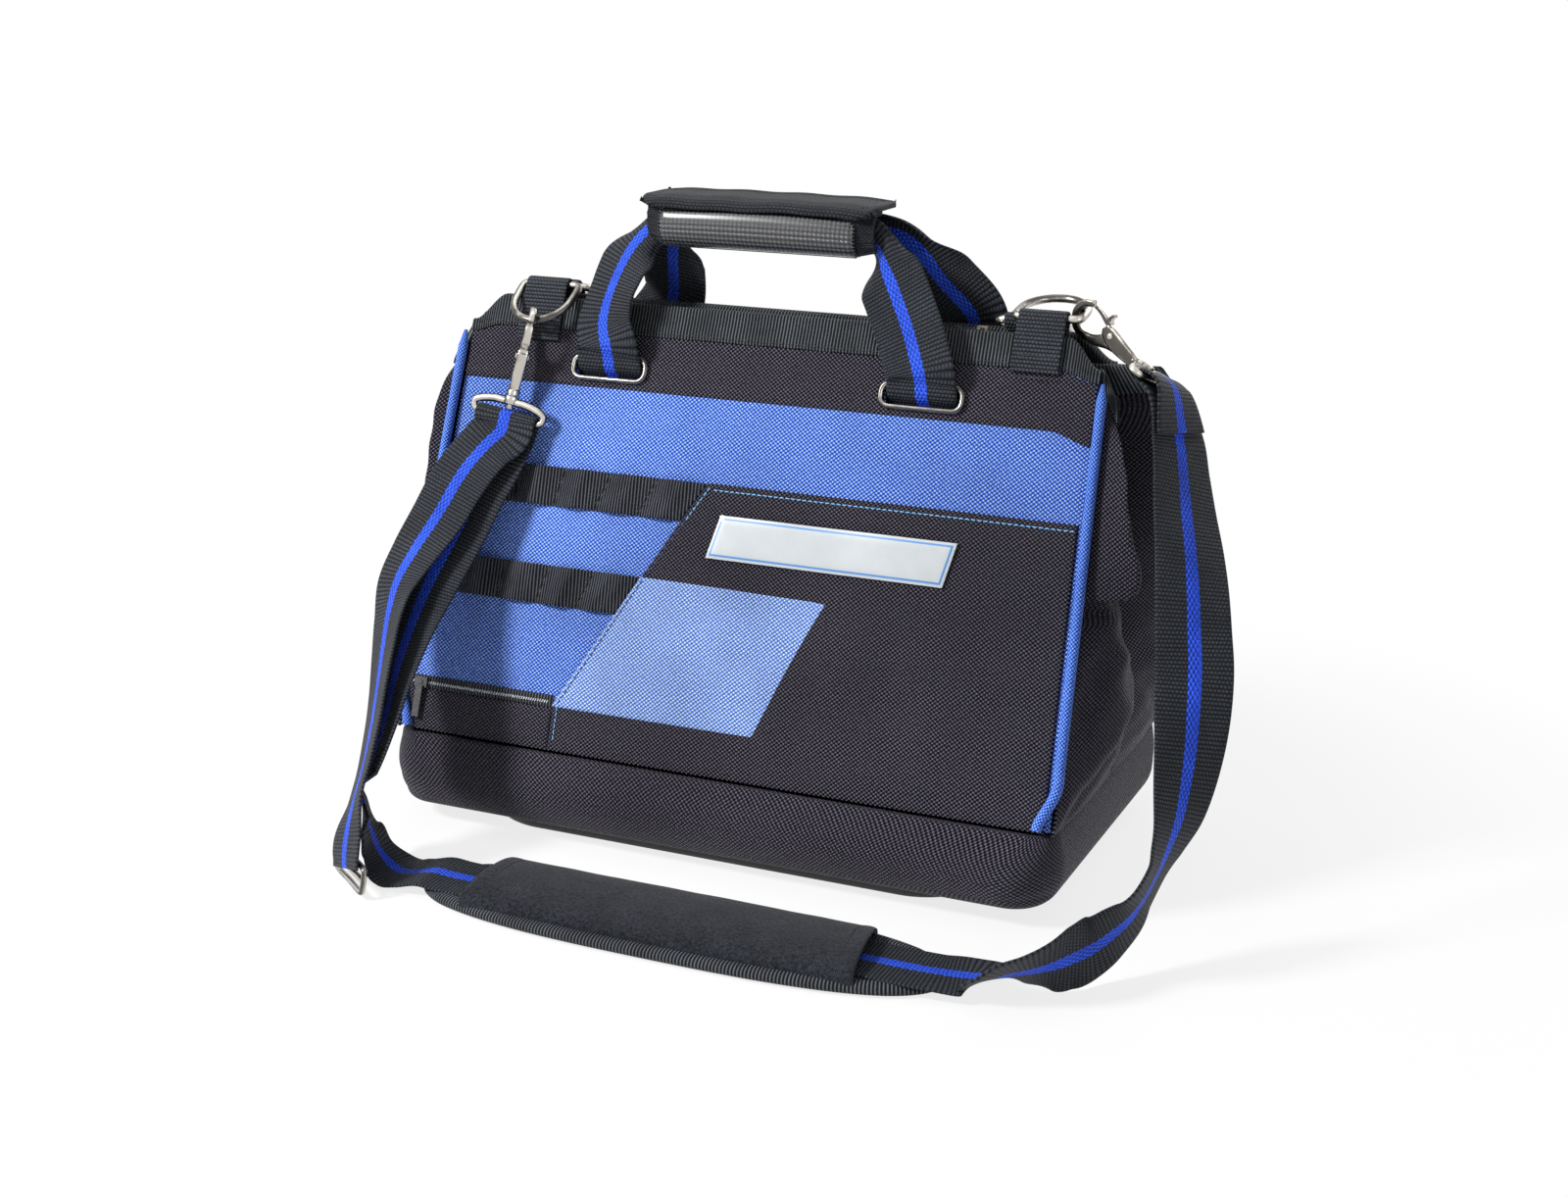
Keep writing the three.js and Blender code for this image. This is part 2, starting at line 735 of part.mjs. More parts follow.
// Zip slider: a plate over and a plate under the coil, joined on the front side
const sliderTop = zipTop + clearance;
function box(x0, x1, y0, y1, z0, z1) {
  const geometry = new THREE.BoxGeometry(x1 - x0, y1 - y0, z1 - z0);
  geometry.translate((x0 + x1) / 2, (y0 + y1) / 2, (z0 + z1) / 2);
  return geometry;
}
const sliderHalfWidth = 3;
const sliderPlate = 1.1;
const bridgeHalf = 1.2;
const pinZ = sliderTop + 2;
add('zip_slider', join(
  box(sliderX - sliderLength / 2, sliderX + sliderLength / 2, -sliderHalfWidth, sliderHalfWidth,
    sliderTop, sliderTop + sliderPlate),
  box(sliderX - 3, sliderX - 1.4, -bridgeHalf, bridgeHalf, sliderTop + 0.8, pinZ + 1.6),
  box(sliderX + 1.4, sliderX + 3, -bridgeHalf, bridgeHalf, sliderTop + 0.8, pinZ + 1.6),
  box(sliderX - 3, sliderX + 3, -bridgeHalf, bridgeHalf, pinZ + 0.9, pinZ + 2.1),
), nickel);

// Its pull: a long plate with two arms that hold a pin through the slider's bridge
const pullHalf = 2.8;
const pullThick = 1;
const pinHalf = 0.4;
function zipPull() {
  const arm = bridgeHalf + clearance;
  const end = sliderX + 0.5;
  const tip = end - pullLength;
  const shape = new THREE.Shape();
  shape.moveTo(end, arm);
  shape.lineTo(end, pullHalf - 0.5);
  shape.lineTo(tip, pullHalf);
  shape.quadraticCurveTo(tip - 3, 0, tip, -pullHalf);
  shape.lineTo(end, -pullHalf + 0.5);
  shape.lineTo(end, -arm);
  shape.lineTo(sliderX - 6, -arm);
  shape.lineTo(sliderX - 6, arm);
  shape.closePath();
  const plateBody = new THREE.ExtrudeGeometry(shape, { depth: pullThick, bevelEnabled: false, curveSegments: 6 });
  plateBody.translate(0, 0, pinZ - pullThick / 2);
  const pin = box(sliderX - pinHalf, sliderX + pinHalf, -arm - 0.3, arm + 0.3, pinZ - pinHalf, pinZ + pinHalf);
  return join(plateBody, pin);
}
add('zip_pull', zipPull(), nickel);

// Handles: each strap rises from a slot, folds lengthwise into the grip and comes down again
const gripMiddle = gripLow + gripHeight / 2 - 1;
const legs = {
  front: {
    inGrip: -7,
    left: [[-87, 284], [-80, 315], [-73, 331], [-62, gripMiddle]],
    right: [[82, 290], [68, 317], [60, 331], [49, gripMiddle]],
  },
  back: {
    inGrip: 5.4,
    left: [[-76, 290], [-70, 316], [-66, 331], [-55, gripMiddle]],
    right: [[106, 290], [91, 312], [75, 332], [58, gripMiddle]],
  },
};
const pivotLift = skinThick + 2 * grommetWire + 2.4;
function handle(side) {
  const leg = legs[sideName(side)];
  const foot = onPanel(side, grommetX, grommetS, pivotLift);
  const climb = (end) => leg[end < 0 ? 'left' : 'right'].map(([x, z]) => {
    return V(x, mix(foot.y, leg.inGrip, smooth((z - foot.z) / (gripMiddle - foot.z))), z);
  });
  const rise = (end) => [V(end * grommetX, foot.y, foot.z), V(end * grommetX, foot.y, foot.z + 9), ...climb(end)];
  const line = new THREE.CatmullRomCurve3([...rise(-1), ...rise(1).reverse()], false, 'centripetal');
  const steps = 44;
  const rings = range(steps + 1).map((k) => {
    const t = k / steps;
    const p = line.getPointAt(t);
    const along = line.getTangentAt(t);
    const n = V(0, -1, 0);
    n.addScaledVector(along, -n.dot(along)).normalize();
    const w = n.clone().cross(along);
    const folded = smooth((p.z - gripMiddle + 64) / 44);
    const half = mix(handleWidth / 2, foldHalf, folded);
    const thick = mix(handleThick, handleThick * 2, folded) / 2;
    return [[-1, -1], [1, -1], [1, 1], [-1, 1]].map(([a, b]) => {
      return p.clone().addScaledVector(w, a * half).addScaledVector(n, b * thick);
    });
  });
  const reach = 3.8;
  const feet = [-grommetX, grommetX].map((x) => {
    const ends = [foot.y, foot.y - side * reach];
    return box(
      x - handleWidth / 2, x + handleWidth / 2, Math.min(...ends), Math.max(...ends),
      foot.z, foot.z + handleThick,
    );
  });
  return join(loft(rings), ...feet);
}
add('front_handle', handle(-1), webbing);
add('back_handle', handle(1), webbing);

// Grip: a wrap round the front strap, open to the back, where the back strap lies in it
const gripTop = gripLow + gripHeight;
const gripNotch = 17;
function gripWrap() {
  const section = (open) => {
    const bottomEnd = mix(gripBack, -gripFront + 8.2, open);
    return [
      [-2, gripTop], [-gripFront + 6, gripTop], [-gripFront + 1.4, gripTop - 5], [-gripFront, gripTop - 13],
      [-gripFront + 1.6, gripLow + 6], [-gripFront + 7, gripLow], [bottomEnd, gripLow],
      [bottomEnd, gripLow + gripWall], [-gripFront + 7.6, gripLow + gripWall],
      [-gripFront + gripWall + 1.4, gripLow + 7.2], [-gripFront + gripWall, gripTop - 13],
      [-gripFront + gripWall + 1.2, gripTop - 6.2], [-gripFront + 7.4, gripTop - gripWall],
      [-2, gripTop - gripWall],
    ];
  };
  const stations = [
    [gripLeft, 1], [gripLeft + gripNotch, 1], [gripLeft + gripNotch + 2, 0],
    [gripRight - gripNotch - 2, 0], [gripRight - gripNotch, 1], [gripRight, 1],
  ];
  return loft(stations.map(([x, open]) => section(open).map(([y, z]) => V(x, y, z))));
}
add('grip_wrap', gripWrap(), webbing);

// Vinyl facing on the grip's front
function gripFacing() {
  const inset = gripNotch - 5;
  const line = [
    [-gripFront + 1.1, gripTop - 5.5], [-gripFront - 0.3, gripTop - 13],
    [-gripFront + 1.3, gripLow + 6], [-gripFront + 6, gripLow + 0.2],
  ];
  const rings = [gripLeft + inset, gripRight - inset].map((x) => [
    ...line.map(([y, z]) => V(x, y - 1.4, z - 0.3)),
    ...line.slice().reverse().map(([y, z]) => V(x, y - 0.2, z - 0.2)),
  ]);
  return loft(rings);
}
add('grip_facing', gripFacing(), vinyl);

// Grip flap: a roof hinged along the grip's front edge
const flapLow = gripTop + clearance;
function gripFlap() {
  const round = 6;
  const shape = new THREE.Shape();
  const [x0, x1, y0, y1] = [gripLeft - 2, gripRight + 2, -gripFront - flapOverhang + 3, gripBack + 2];
  shape.moveTo(x0 + round, y0);
  shape.lineTo(x1 - round, y0);
  shape.quadraticCurveTo(x1, y0, x1, y0 + round);
  shape.lineTo(x1, y1 - round);
  shape.quadraticCurveTo(x1, y1, x1 - round, y1);
  shape.lineTo(x0 + round, y1);
  shape.quadraticCurveTo(x0, y1, x0, y1 - round);
  shape.lineTo(x0, y0 + round);
  shape.quadraticCurveTo(x0, y0, x0 + round, y0);
  const roof = new THREE.ExtrudeGeometry(shape, { depth: flapThick, bevelEnabled: false, curveSegments: 4 });
  roof.translate(0, 0, flapLow);
  return roof;
}
add('grip_flap', gripFlap(), webbing);

// Rings: the front left one is pulled down by its hook, and the front right one lies over the ridge
const tiltLeft = -0.6;
const tiltRight = 0.19;
const tiltBack = -0.35;
const ringLeft = ringPlane(-1, tabLeftX + ringShift, leftBarS, tiltLeft, 1);
const ringRight = ringPlane(-1, tabRightX + ringShift, rightBarS, tiltRight, -1);
add('front_ring_left', ring(ringLeft), nickel);
add('front_ring_right', ring(ringRight), nickel);
add('back_ring_left', ring(ringPlane(1, -backTabX, backBarS, tiltBack, 1)), nickel);
add('back_ring_right', ring(ringPlane(1, backTabX, backBarS, tiltBack, 1)), nickel);

// Snap hook: eye is the middle of the ring's wire inside it, swivel the end of its post
function hookFrame(eye, swivel, ringWireWay) {
  const along = eye.clone().sub(swivel).normalize();
  const thick = ringWireWay.clone().addScaledVector(along, -ringWireWay.dot(along)).normalize();
  const side = thick.clone().cross(along);
  const long = eye.distanceTo(swivel) - hookEye + hookWire + ringWire + 2 * clearance;
  return { along, thick, side, long, swivel };
}
const hookPoint = (f, a, b, c = 0) => {
  return f.swivel.clone().addScaledVector(f.along, a).addScaledVector(f.side, b).addScaledVector(f.thick, c);
};
// A round solid about the hook's own axis, from a list of [along, radius]
const turned = (f, stations, sides = 10) => loft(stations.map(([a, radius]) => range(sides).map((k) => {
  const angle = (2 * Math.PI * k) / sides;
  return hookPoint(f, a, radius * Math.cos(angle), radius * Math.sin(angle));
})));
function hookBody(f) {
  const eyeMid = f.long;
  const stem = [
    [6, 0], [eyeMid - 24, 0], [eyeMid - 16, -2.5], [eyeMid - 9, -hookEye + 0.5],
    [eyeMid, -hookEye], [eyeMid + hookEye * 0.7, -hookEye * 0.7], [eyeMid + hookEye, 0],
    [eyeMid + hookEye * 0.7, hookEye * 0.7], [eyeMid + 1.5, hookEye],
  ];
  const jaw = wire(stem.map(([a, b]) => hookPoint(f, a, b)), hookWire, false, 22, 6);
  const blockRing = (a, half, thick) => {
    return [[-1, -1], [1, -1], [1, 1], [-1, 1]].map(([b, c]) => hookPoint(f, a, b * half, c * thick));
  };
  const block = loft([
    blockRing(4, 3, 3), blockRing(eyeMid - 22, 4.6, 3.2), blockRing(eyeMid - 14, 4.2, 3.2),
  ]);
  const post = turned(f, [
    [-postHead - 1.4, postRadius + 1.2], [-postHead, postRadius + 1.2], [-postHead, postRadius],
    [0, postRadius], [0.4, 3.8], [3, 3.8], [5, 3],
  ]);
  return join(jaw, block, post);
}
function hookTrigger(f) {
  const eyeMid = f.long;
  const ring4 = ([a, b], half, thick) => {
    return [[-1, -1], [1, -1], [1, 1], [-1, 1]].map(([i, c]) => hookPoint(f, a, b + i * half, c * thick));
  };
  return loft([
    ring4([eyeMid - 13.2, 5.8], 1.2, 2.2), ring4([eyeMid - 8, 7.6], 1.4, 2.2),
    ring4([eyeMid - 0.8, hookEye], 1.1, 2),
  ]);
}

// The loop that the strap is sewn round: a collar that turns on the hook's post, and a wire bow
// with a straight bar
const barOf = (f) => f.swivel.clone().addScaledVector(f.along, -loopDrop);
const barWay = ({ frame, bar }) => {
  return bar.clone().addScaledVector(frame.along, -bar.dot(frame.along)).normalize();
};
function hookLoop(f, w) {
  const middle = barOf(f);
  const rise = loopDrop - collarMiddle;
  const at = (a, up) => middle.clone().addScaledVector(w, a).addScaledVector(f.along, up);
  const points = [
    at(-loopHalf + 4, 0), at(0, 0), at(loopHalf - 4, 0), at(loopHalf - 0.8, 1.4), at(loopHalf - 0.8, 5),
    at(loopHalf * 0.55, rise - 0.4), at(0, rise), at(-loopHalf * 0.55, rise - 0.4),
    at(-loopHalf + 0.8, 5), at(-loopHalf + 0.8, 1.4),
  ];
  const half = collarMiddle - clearance - 0.2;
  const collar = turned(f, [[-collarMiddle - half * 0.5, 4], [-clearance, 4]]);
  const bore = turned(f, [[-postHead - 1, postRadius + clearance], [1, postRadius + clearance]]);
  return cut(join(wire(points, barWire, true, 30, 6), collar), bore);
}
const hooks = {
  left: {
    frame: hookFrame(ringLeft.at(0, ringStraight + ringHalf), V(-147, -42, 239), V(0.85, 0.53, 0)),
    bar: V(0.92, 0, -0.39),
  },
  right: {
    frame: hookFrame(ringRight.at(ringHalf + 0.2, 7.5), V(209, -14, 279), V(0, 1, 0.1)),
    bar: V(-0.08, 0.99, -0.13),
  },
};
for (const [word, hook] of Object.entries(hooks)) {
  add(`hook_${word}`, hookBody(hook.frame), nickel);
  add(`hook_trigger_${word}`, hookTrigger(hook.frame), nickel);
  add(`hook_loop_${word}`, hookLoop(hook.frame, barWay(hook)), nickel);
}

// Shoulder strap. The left end is doubled: up from the adjuster, round the hook's loop, and back
// down behind. Each line runs downwards: a point, and the way across the webbing there.
const leftBar = barOf(hooks.left.frame);
const rightBar = barOf(hooks.right.frame);
const layer = glideWire + clearance + strapThick / 2;
const turnRadius = barWire + 1.5 * clearance + strapThick / 2;
const outerLine = [
  [V(-156.5, -57.2, 212), V(0.98, -0.05, -0.14)], [V(-165.3, -67.8, 197.9), V(1, -0.02, -0.07)],
  [V(-174.9, -81, 174.9), V(0.99, -0.11, -0.04)], [V(-183.1, -92.4, 157), V(0.97, -0.25, 0.01)],
  [V(-187.9, -104.3, 140.9), V(0.9, -0.44, 0.02)], [V(-186.7, -116.1, 124.7), V(0.81, -0.55, 0.2)],
  [V(-181.8, -130.5, 107.8), V(0.75, -0.6, 0.28)], [V(-176.3, -145.3, 90.8), V(0.7, -0.65, 0.31)],
  [V(-171.3, -159.9, 74.1), V(0.67, -0.66, 0.32)], [V(-167.4, -175.5, 56.2), V(0.65, -0.67, 0.37)],
  [V(-165.6, -186.9, 43.6), V(0.65, -0.7, 0.3)], [V(-164.2, -197, 28), V(0.77, -0.63, 0.06)],
  [V(-163.1, -201.6, 18.3), V(0.8, -0.6, 0)], [V(-162, -204, 10.8), V(0.8, -0.6, 0)],
];
const innerLine = [
  [V(-152.3, -55.5, 204), V(0.99, 0.03, -0.1)], [V(-157.7, -65.2, 187.8), V(1, 0.03, 0.01)],
  [V(-165.8, -78.8, 163.9), V(1, 0.1, 0)], [V(-172.5, -97, 138.5), V(1, 0.02, 0.03)],
  [V(-174.7, -113.4, 117.2), V(0.97, -0.19, 0.14)], [V(-172.4, -133.8, 95), V(0.89, -0.4, 0.21)],
  [V(-167.5, -153.3, 74.8), V(0.79, -0.55, 0.27)], [V(-165.6, -169.2, 57.7), V(0.72, -0.62, 0.3)],
  [V(-165.3, -176.3, 50.5), V(0.69, -0.66, 0.3)],
];
// The path's own normal at each point, towards +X
function offsetLine(points, distance) {
  return points.map(([p, w], i) => {
    const before = points[Math.max(0, i - 1)][0];
    const after = points[Math.min(points.length - 1, i + 1)][0];
    const n = after.clone().sub(before).normalize().cross(w).normalize();
    return p.clone().addScaledVector(n, -distance);
  });
}
function roundBar(f, bar, w, from, to) {
  const n = w.clone().cross(f.along).normalize();
  return range(7).map((k) => {
    const angle = mix(from, to, k / 6);
    return bar.clone()
      .addScaledVector(n, turnRadius * Math.cos(angle))
      .addScaledVector(f.along, turnRadius * Math.sin(angle));
  });
}
function strapLoop() {
  const f = hooks.left.frame;
  const w = barWay(hooks.left);
  const turn = roundBar(f, leftBar, w, 0, Math.PI);
  const legs = [turn[0], turn[6]].map((p) => p.clone().addScaledVector(f.along, -loopLeg));
  const round = [legs[0], ...turn, legs[1]].map((p) => [p, w]);
  const line = [...outerLine.slice().reverse(), ...round, ...innerLine];
  return strip(line.map(([p]) => p), line.map(([, q]) => q), strapWidth - loopEase, strapThick, 72);
}
add('strap_left', strapLoop(), webbing);

// The rest leaves the doubled end, turns flat, runs through the pad and along the ground, and
// climbs to the right hook
const throughPad = padThick + clearance + strapThick / 2 + 0.4;
const onGround = strapThick / 2 + clearance;
const flat = V(0, 1, 0);
const longLine = [
  [V(-166.2, -178.8, 34), V(-0.5, 0.79, -0.35)], [V(-166, -178, 28.5), V(-0.4, 0.84, -0.36)],
  [V(-163.2, -178, 21.8), V(-0.25, 0.89, -0.38)], [V(-159.9, -177.5, 12.5), V(-0.09, 0.93, -0.35)],
  [V(-152, -178, 5), V(0, 1, -0.1)], [V(-143, -180, 2.6), flat], [V(-134, padY, 4), flat],
  [V(padLeft - 3, padY, throughPad + 0.6), flat], [V(padLeft + 10, padY, throughPad), flat],
  [V(-60, padY, throughPad), flat], [V(20, padY, throughPad), flat], [V(110, padY, throughPad), flat],
  [V(padRight, padY, throughPad), flat], [V(padRight + padSlide, padY + 3, throughPad), flat],
  [V(195.7, -181, 10), V(-0.15, 0.9, -0.4)], [V(203, -181, 13.4), V(-0.05, 0.8, -0.58)],
  [V(212.6, -178.7, 16.2), V(0.04, 0.75, -0.66)], [V(221.9, -173.6, 18.6), V(0.16, 0.66, -0.72)],
  [V(229.5, -164.4, 20.3), V(0.23, 0.58, -0.76)], [V(236.5, -154, 22.4), V(0.26, 0.56, -0.75)],
  [V(243, -147, 27.4), V(0.2, 0.63, -0.72)], [V(249.5, -140, 34), V(0.1, 0.75, -0.65)],
  [V(254.5, -134, 43), V(0, 0.88, -0.47)], [V(258.7, -125.7, 54.7), V(0.01, 0.94, -0.35)],
  [V(261.4, -121, 64.2), V(0.16, 0.94, -0.29)], [V(264.6, -114.9, 78.4), V(0.39, 0.9, -0.19)],
  [V(265.7, -108.1, 96), V(0.59, 0.79, -0.13)], [V(265.8, -102.2, 113.8), V(0.74, 0.67, -0.09)],
  [V(264.7, -96.2, 130.9), V(0.85, 0.52, -0.07)], [V(262.6, -88.6, 147.9), V(0.88, 0.47, -0.07)],
  [V(258.9, -80, 164.5), V(0.85, 0.51, -0.11)], [V(254.8, -70.2, 181.3), V(0.8, 0.58, -0.14)],
  [V(249.8, -59, 197.4), V(0.72, 0.66, -0.19)], [V(243.5, -46.9, 214.4), V(0.61, 0.77, -0.19)],
  [V(237.9, -35.7, 231.5), V(0.51, 0.84, -0.21)], [V(232.3, -27, 249.2), V(0.44, 0.87, -0.22)],
];
const tailLift = strapThick + 0.8;
function longStrap() {
  const f = hooks.right.frame;
  const w = barWay(hooks.right);
  const turn = roundBar(f, rightBar, w, Math.PI, 0).map((p) => [p, w]);
  const tail = [offsetLine(longLine, tailLift).pop(), longLine[longLine.length - 1][1]];
  const legs = [turn[0], turn[6]].map(([p]) => [p.clone().addScaledVector(f.along, -loopLeg), w]);
  const line = [...longLine, legs[0], ...turn, legs[1], tail];
  const width = (t) => strapWidth - (t > 0.75 ? loopEase : 0);
  return strip(line.map(([p]) => p), line.map(([, q]) => q), width, strapThick, 110);
}
add('strap_long', longStrap(), webbing);

// Adjuster: a wire frame with a middle bar, on the doubled strap's lower end
function adjuster() {
  const [low, w] = outerLine[outerLine.length - 1];
  const up = outerLine[outerLine.length - 2][0].clone().sub(low);
  const p = offsetLine(outerLine, layer).pop();
  up.addScaledVector(w, -up.dot(w) / w.lengthSq()).normalize();
  const across = w.clone().normalize();
  const half = strapWidth / 2 + glideWire + clearance;
  const tall = adjusterTall;
  const at = (a, b) => p.clone().addScaledVector(across, a).addScaledVector(up, b);
  const frameWire = wire([
    at(-half, -tall + 2), at(-half + 2, -tall), at(0, -tall), at(half - 2, -tall), at(half, -tall + 2),
    at(half, 0), at(half, tall - 2), at(half - 2, tall), at(0, tall), at(-half + 2, tall), at(-half, tall - 2),
    at(-half, 0),
  ], glideWire, true, 28, 6);
  return join(frameWire, wire([at(-half, 0), at(0, 0), at(half, 0)], glideWire, false, 3, 6));
}
add('strap_adjuster', adjuster(), nickel);

// Shoulder pad: a lens-shaped cushion bound at its edge, and a sleeve that holds it on the strap
function lensRing(inset, z, n = 36) {
  const middle = (padLeft + padRight) / 2;
  const half = (padRight - padLeft) / 2 - inset;
  return range(n).map((k) => {
    const angle = (2 * Math.PI * k) / n;
    const c = Math.cos(angle);
    const s = Math.sin(angle);
    const x = half * Math.sign(c) * Math.abs(c) ** 0.72;
    const y = (padHalf - inset) * Math.sign(s) * Math.abs(s) ** 0.9;
    return V(middle + x, padY + y, z);
  });
}
add('pad_base', loft([lensRing(2, 0), lensRing(0, 1.2), lensRing(0, padThick - 1.6), lensRing(3, padThick)]), fleece);
function padSleeve() {
  const half = padHalf - 5;
  const wall = 2;
  const low = padThick + clearance;
  const arch = (reach, rise) => range(9).map((k) => {
    const angle = (Math.PI * k) / 8;
    return [-reach * Math.cos(angle), low + rise * Math.sin(angle) ** 0.6];
  });
  const outside = arch(half, sleeveHeight - low);
  const inside = arch(half - 4, sleeveHeight - low - wall).reverse();
  const rings = [sleeveLeft, mix(sleeveLeft, sleeveRight, 0.33), mix(sleeveLeft, sleeveRight, 0.67), sleeveRight].map((x) => {
    return [...outside, ...inside].map(([y, z]) => V(x, padY + y, z));
  });
  return loft(rings);
}
add('pad_sleeve', padSleeve(), fleece);

export default bag;
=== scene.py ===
# Zippered tool bag: soft surfaces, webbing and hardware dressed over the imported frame. Metres.
import math

import bpy
import numpy as np
from mathutils import Matrix, Vector


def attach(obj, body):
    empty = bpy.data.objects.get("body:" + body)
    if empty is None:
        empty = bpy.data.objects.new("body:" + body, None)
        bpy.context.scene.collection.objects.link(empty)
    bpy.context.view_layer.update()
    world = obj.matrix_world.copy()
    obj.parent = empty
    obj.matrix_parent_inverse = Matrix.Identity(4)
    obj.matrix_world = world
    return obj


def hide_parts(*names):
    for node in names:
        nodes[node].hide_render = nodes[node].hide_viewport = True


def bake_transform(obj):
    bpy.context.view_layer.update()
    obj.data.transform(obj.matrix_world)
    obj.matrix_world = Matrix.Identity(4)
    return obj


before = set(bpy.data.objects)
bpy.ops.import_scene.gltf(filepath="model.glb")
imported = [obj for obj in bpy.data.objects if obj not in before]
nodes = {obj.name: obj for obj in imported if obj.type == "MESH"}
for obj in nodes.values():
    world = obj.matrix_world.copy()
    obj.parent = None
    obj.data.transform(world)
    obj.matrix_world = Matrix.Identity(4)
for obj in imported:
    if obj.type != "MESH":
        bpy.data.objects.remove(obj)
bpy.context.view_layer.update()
mm = 0.001
print("frame loaded:", len(nodes), "nodes")


def lookMatrix(place, azimuth, pitch, roll):
    a, p, r = (math.radians(v) for v in (azimuth, pitch, roll))
    ahead = Vector((-math.sin(a) * math.cos(p), math.cos(a) * math.cos(p), -math.sin(p)))
    right = Vector((math.cos(a), math.sin(a), 0))
    up = right.cross(ahead)
    rolledRight = right * math.cos(r) + up * math.sin(r)
    rolledUp = up * math.cos(r) - right * math.sin(r)
    turn = Matrix((rolledRight, rolledUp, -ahead)).transposed().to_4x4()
    return Matrix.Translation(place) @ turn


view = {"place": (0.5043, -1.1135, 0.4956), "azimuth": 24.24, "pitch": 16.82, "roll": 0.16, "lens": 51.32}
cameraData = bpy.data.cameras.new("camera")
cameraData.lens = view["lens"]
cameraData.sensor_width = 36
cameraData.sensor_fit = "HORIZONTAL"
cameraData.clip_end = 50
camera = bpy.data.objects.new("camera", cameraData)
camera.matrix_world = lookMatrix(Vector(view["place"]), view["azimuth"], view["pitch"], view["roll"])
bpy.context.scene.collection.objects.link(camera)
bpy.context.scene.camera = camera
bpy.context.scene.view_settings.view_transform = "Standard"


def softBox(name, place, target, size, watts):
    light = bpy.data.lights.new(name, "AREA")
    light.shape = "RECTANGLE"
    light.size, light.size_y = size
    light.energy = watts
    lamp = bpy.data.objects.new(name, light)
    lamp.location = place
    lamp.rotation_euler = (Vector(target) - Vector(place)).to_track_quat("-Z", "Y").to_euler()
    bpy.context.scene.collection.objects.link(lamp)


# Lamps: name, place, target, size and watts. fill is how bright the surroundings light the bag.
studio = {"fill": 0.2, "floorHalf": 6, "floorDrop": -0.0002, "floorPaint": 0.9,
          "lamps": (("keyLight", (-1.15, -1.25, 1.35), (0, 0, 0.15), (0.4, 0.35), 52),
                    ("topLight", (-0.2, 0.1, 1.9), (0, 0, 0.1), (1.3, 1.0), 6),
                    ("sideLight", (1.5, -1.0, 0.8), (0, 0, 0.15), (0.6, 0.8), 4),
                    ("backLight", (0.3, 1.6, 1.2), (0, 0, 0.2), (1.4, 0.8), 9))}
for lampRow in studio["lamps"]:
    softBox(*lampRow)


def tree(name):
    material = bpy.data.materials.new(name)
    material.use_nodes = True
    t = material.node_tree
    return material, t, t.nodes["Principled BSDF"]


def give(shader, values):
    for key, value in values.items():
        shader.inputs[key].default_value = value


def calc(t, operation, a, b=None, clamp=False):
    node = t.nodes.new("ShaderNodeMath")
    node.operation = operation
    node.use_clamp = clamp
    for i, v in enumerate((a, b)):
        if isinstance(v, (int, float)):
            node.inputs[i].default_value = v
        elif v is not None:
            t.links.new(v, node.inputs[i])
    return node.outputs[0]


def noise(t, vector, scale, detail=3.0, roughness=0.55):
    node = t.nodes.new("ShaderNodeTexNoise")
    give(node, {"Scale": scale, "Detail": detail, "Roughness": roughness})
    t.links.new(vector, node.inputs["Vector"])
    return node.outputs["Fac"]


def blendColor(t, factor, a, b):
    node = t.nodes.new("ShaderNodeMix")
    node.data_type = "RGBA"
    t.links.new(factor, node.inputs[0])
    for socket, v in ((node.inputs[6], a), (node.inputs[7], b)):
        if isinstance(v, tuple):
            socket.default_value = (*v, 1)
        else:
            t.links.new(v, socket)
    return node.outputs[2]


def remap(t, value, low, high, outLow, outHigh):
    node = t.nodes.new("ShaderNodeMapRange")
    give(node, {"From Min": low, "From Max": high, "To Min": outLow, "To Max": outHigh})
    t.links.new(value, node.inputs["Value"])
    return node.outputs["Result"]


# Noise spread from low to high, for slow changes of tone and for specks
def mottled(t, vector, scale, detail, low, high):
    return remap(t, noise(t, vector, scale, detail), 0.3, 0.7, low, high)


def bump(t, shader, height, strength, distance):
    node = t.nodes.new("ShaderNodeBump")
    give(node, {"Strength": strength, "Distance": distance})
    t.links.new(height, node.inputs["Height"])
    t.links.new(node.outputs["Normal"], shader.inputs["Normal"])


# The sine of 2 pi value / period
def wave(t, value, period):
    return calc(t, "SINE", calc(t, "MULTIPLY", value, 2 * math.pi / period))


# Two waves multiplied: bumps that alternate like threads over and under
def cells(t, u, v, periodU, periodV):
    return calc(t, "MULTIPLY", wave(t, u, periodU), wave(t, v, periodV))


def coordinates(t):
    return t.nodes.new("ShaderNodeTexCoord").outputs


def parted(t, vector):
    parts = t.nodes.new("ShaderNodeSeparateXYZ")
    t.links.new(vector, parts.inputs[0])
    return parts.outputs


def uvParts(t):
    found = coordinates(t)
    parts = parted(t, found["UV"])
    return found, parts["X"], parts["Y"]


# Cloth takes little gloss, so that its black stays deep
def clothColor(t, shader, color, factor):
    scaled = t.nodes.new("ShaderNodeVectorMath")
    scaled.operation = "SCALE"
    t.links.new(color, scaled.inputs[0])
    t.links.new(factor, scaled.inputs["Scale"])
    t.links.new(scaled.outputs[0], shader.inputs["Base Color"])
    give(shader, {"Specular IOR Level": 0.12})


# Light Path rays that see the surroundings and the floor as plain white
def seenRay(t):
    seen = t.nodes.new("ShaderNodeLightPath").outputs
    either = calc(t, "MAXIMUM", seen["Is Camera Ray"], seen["Is Glossy Ray"])
    return calc(t, "MAXIMUM", either, seen["Is Transmission Ray"])


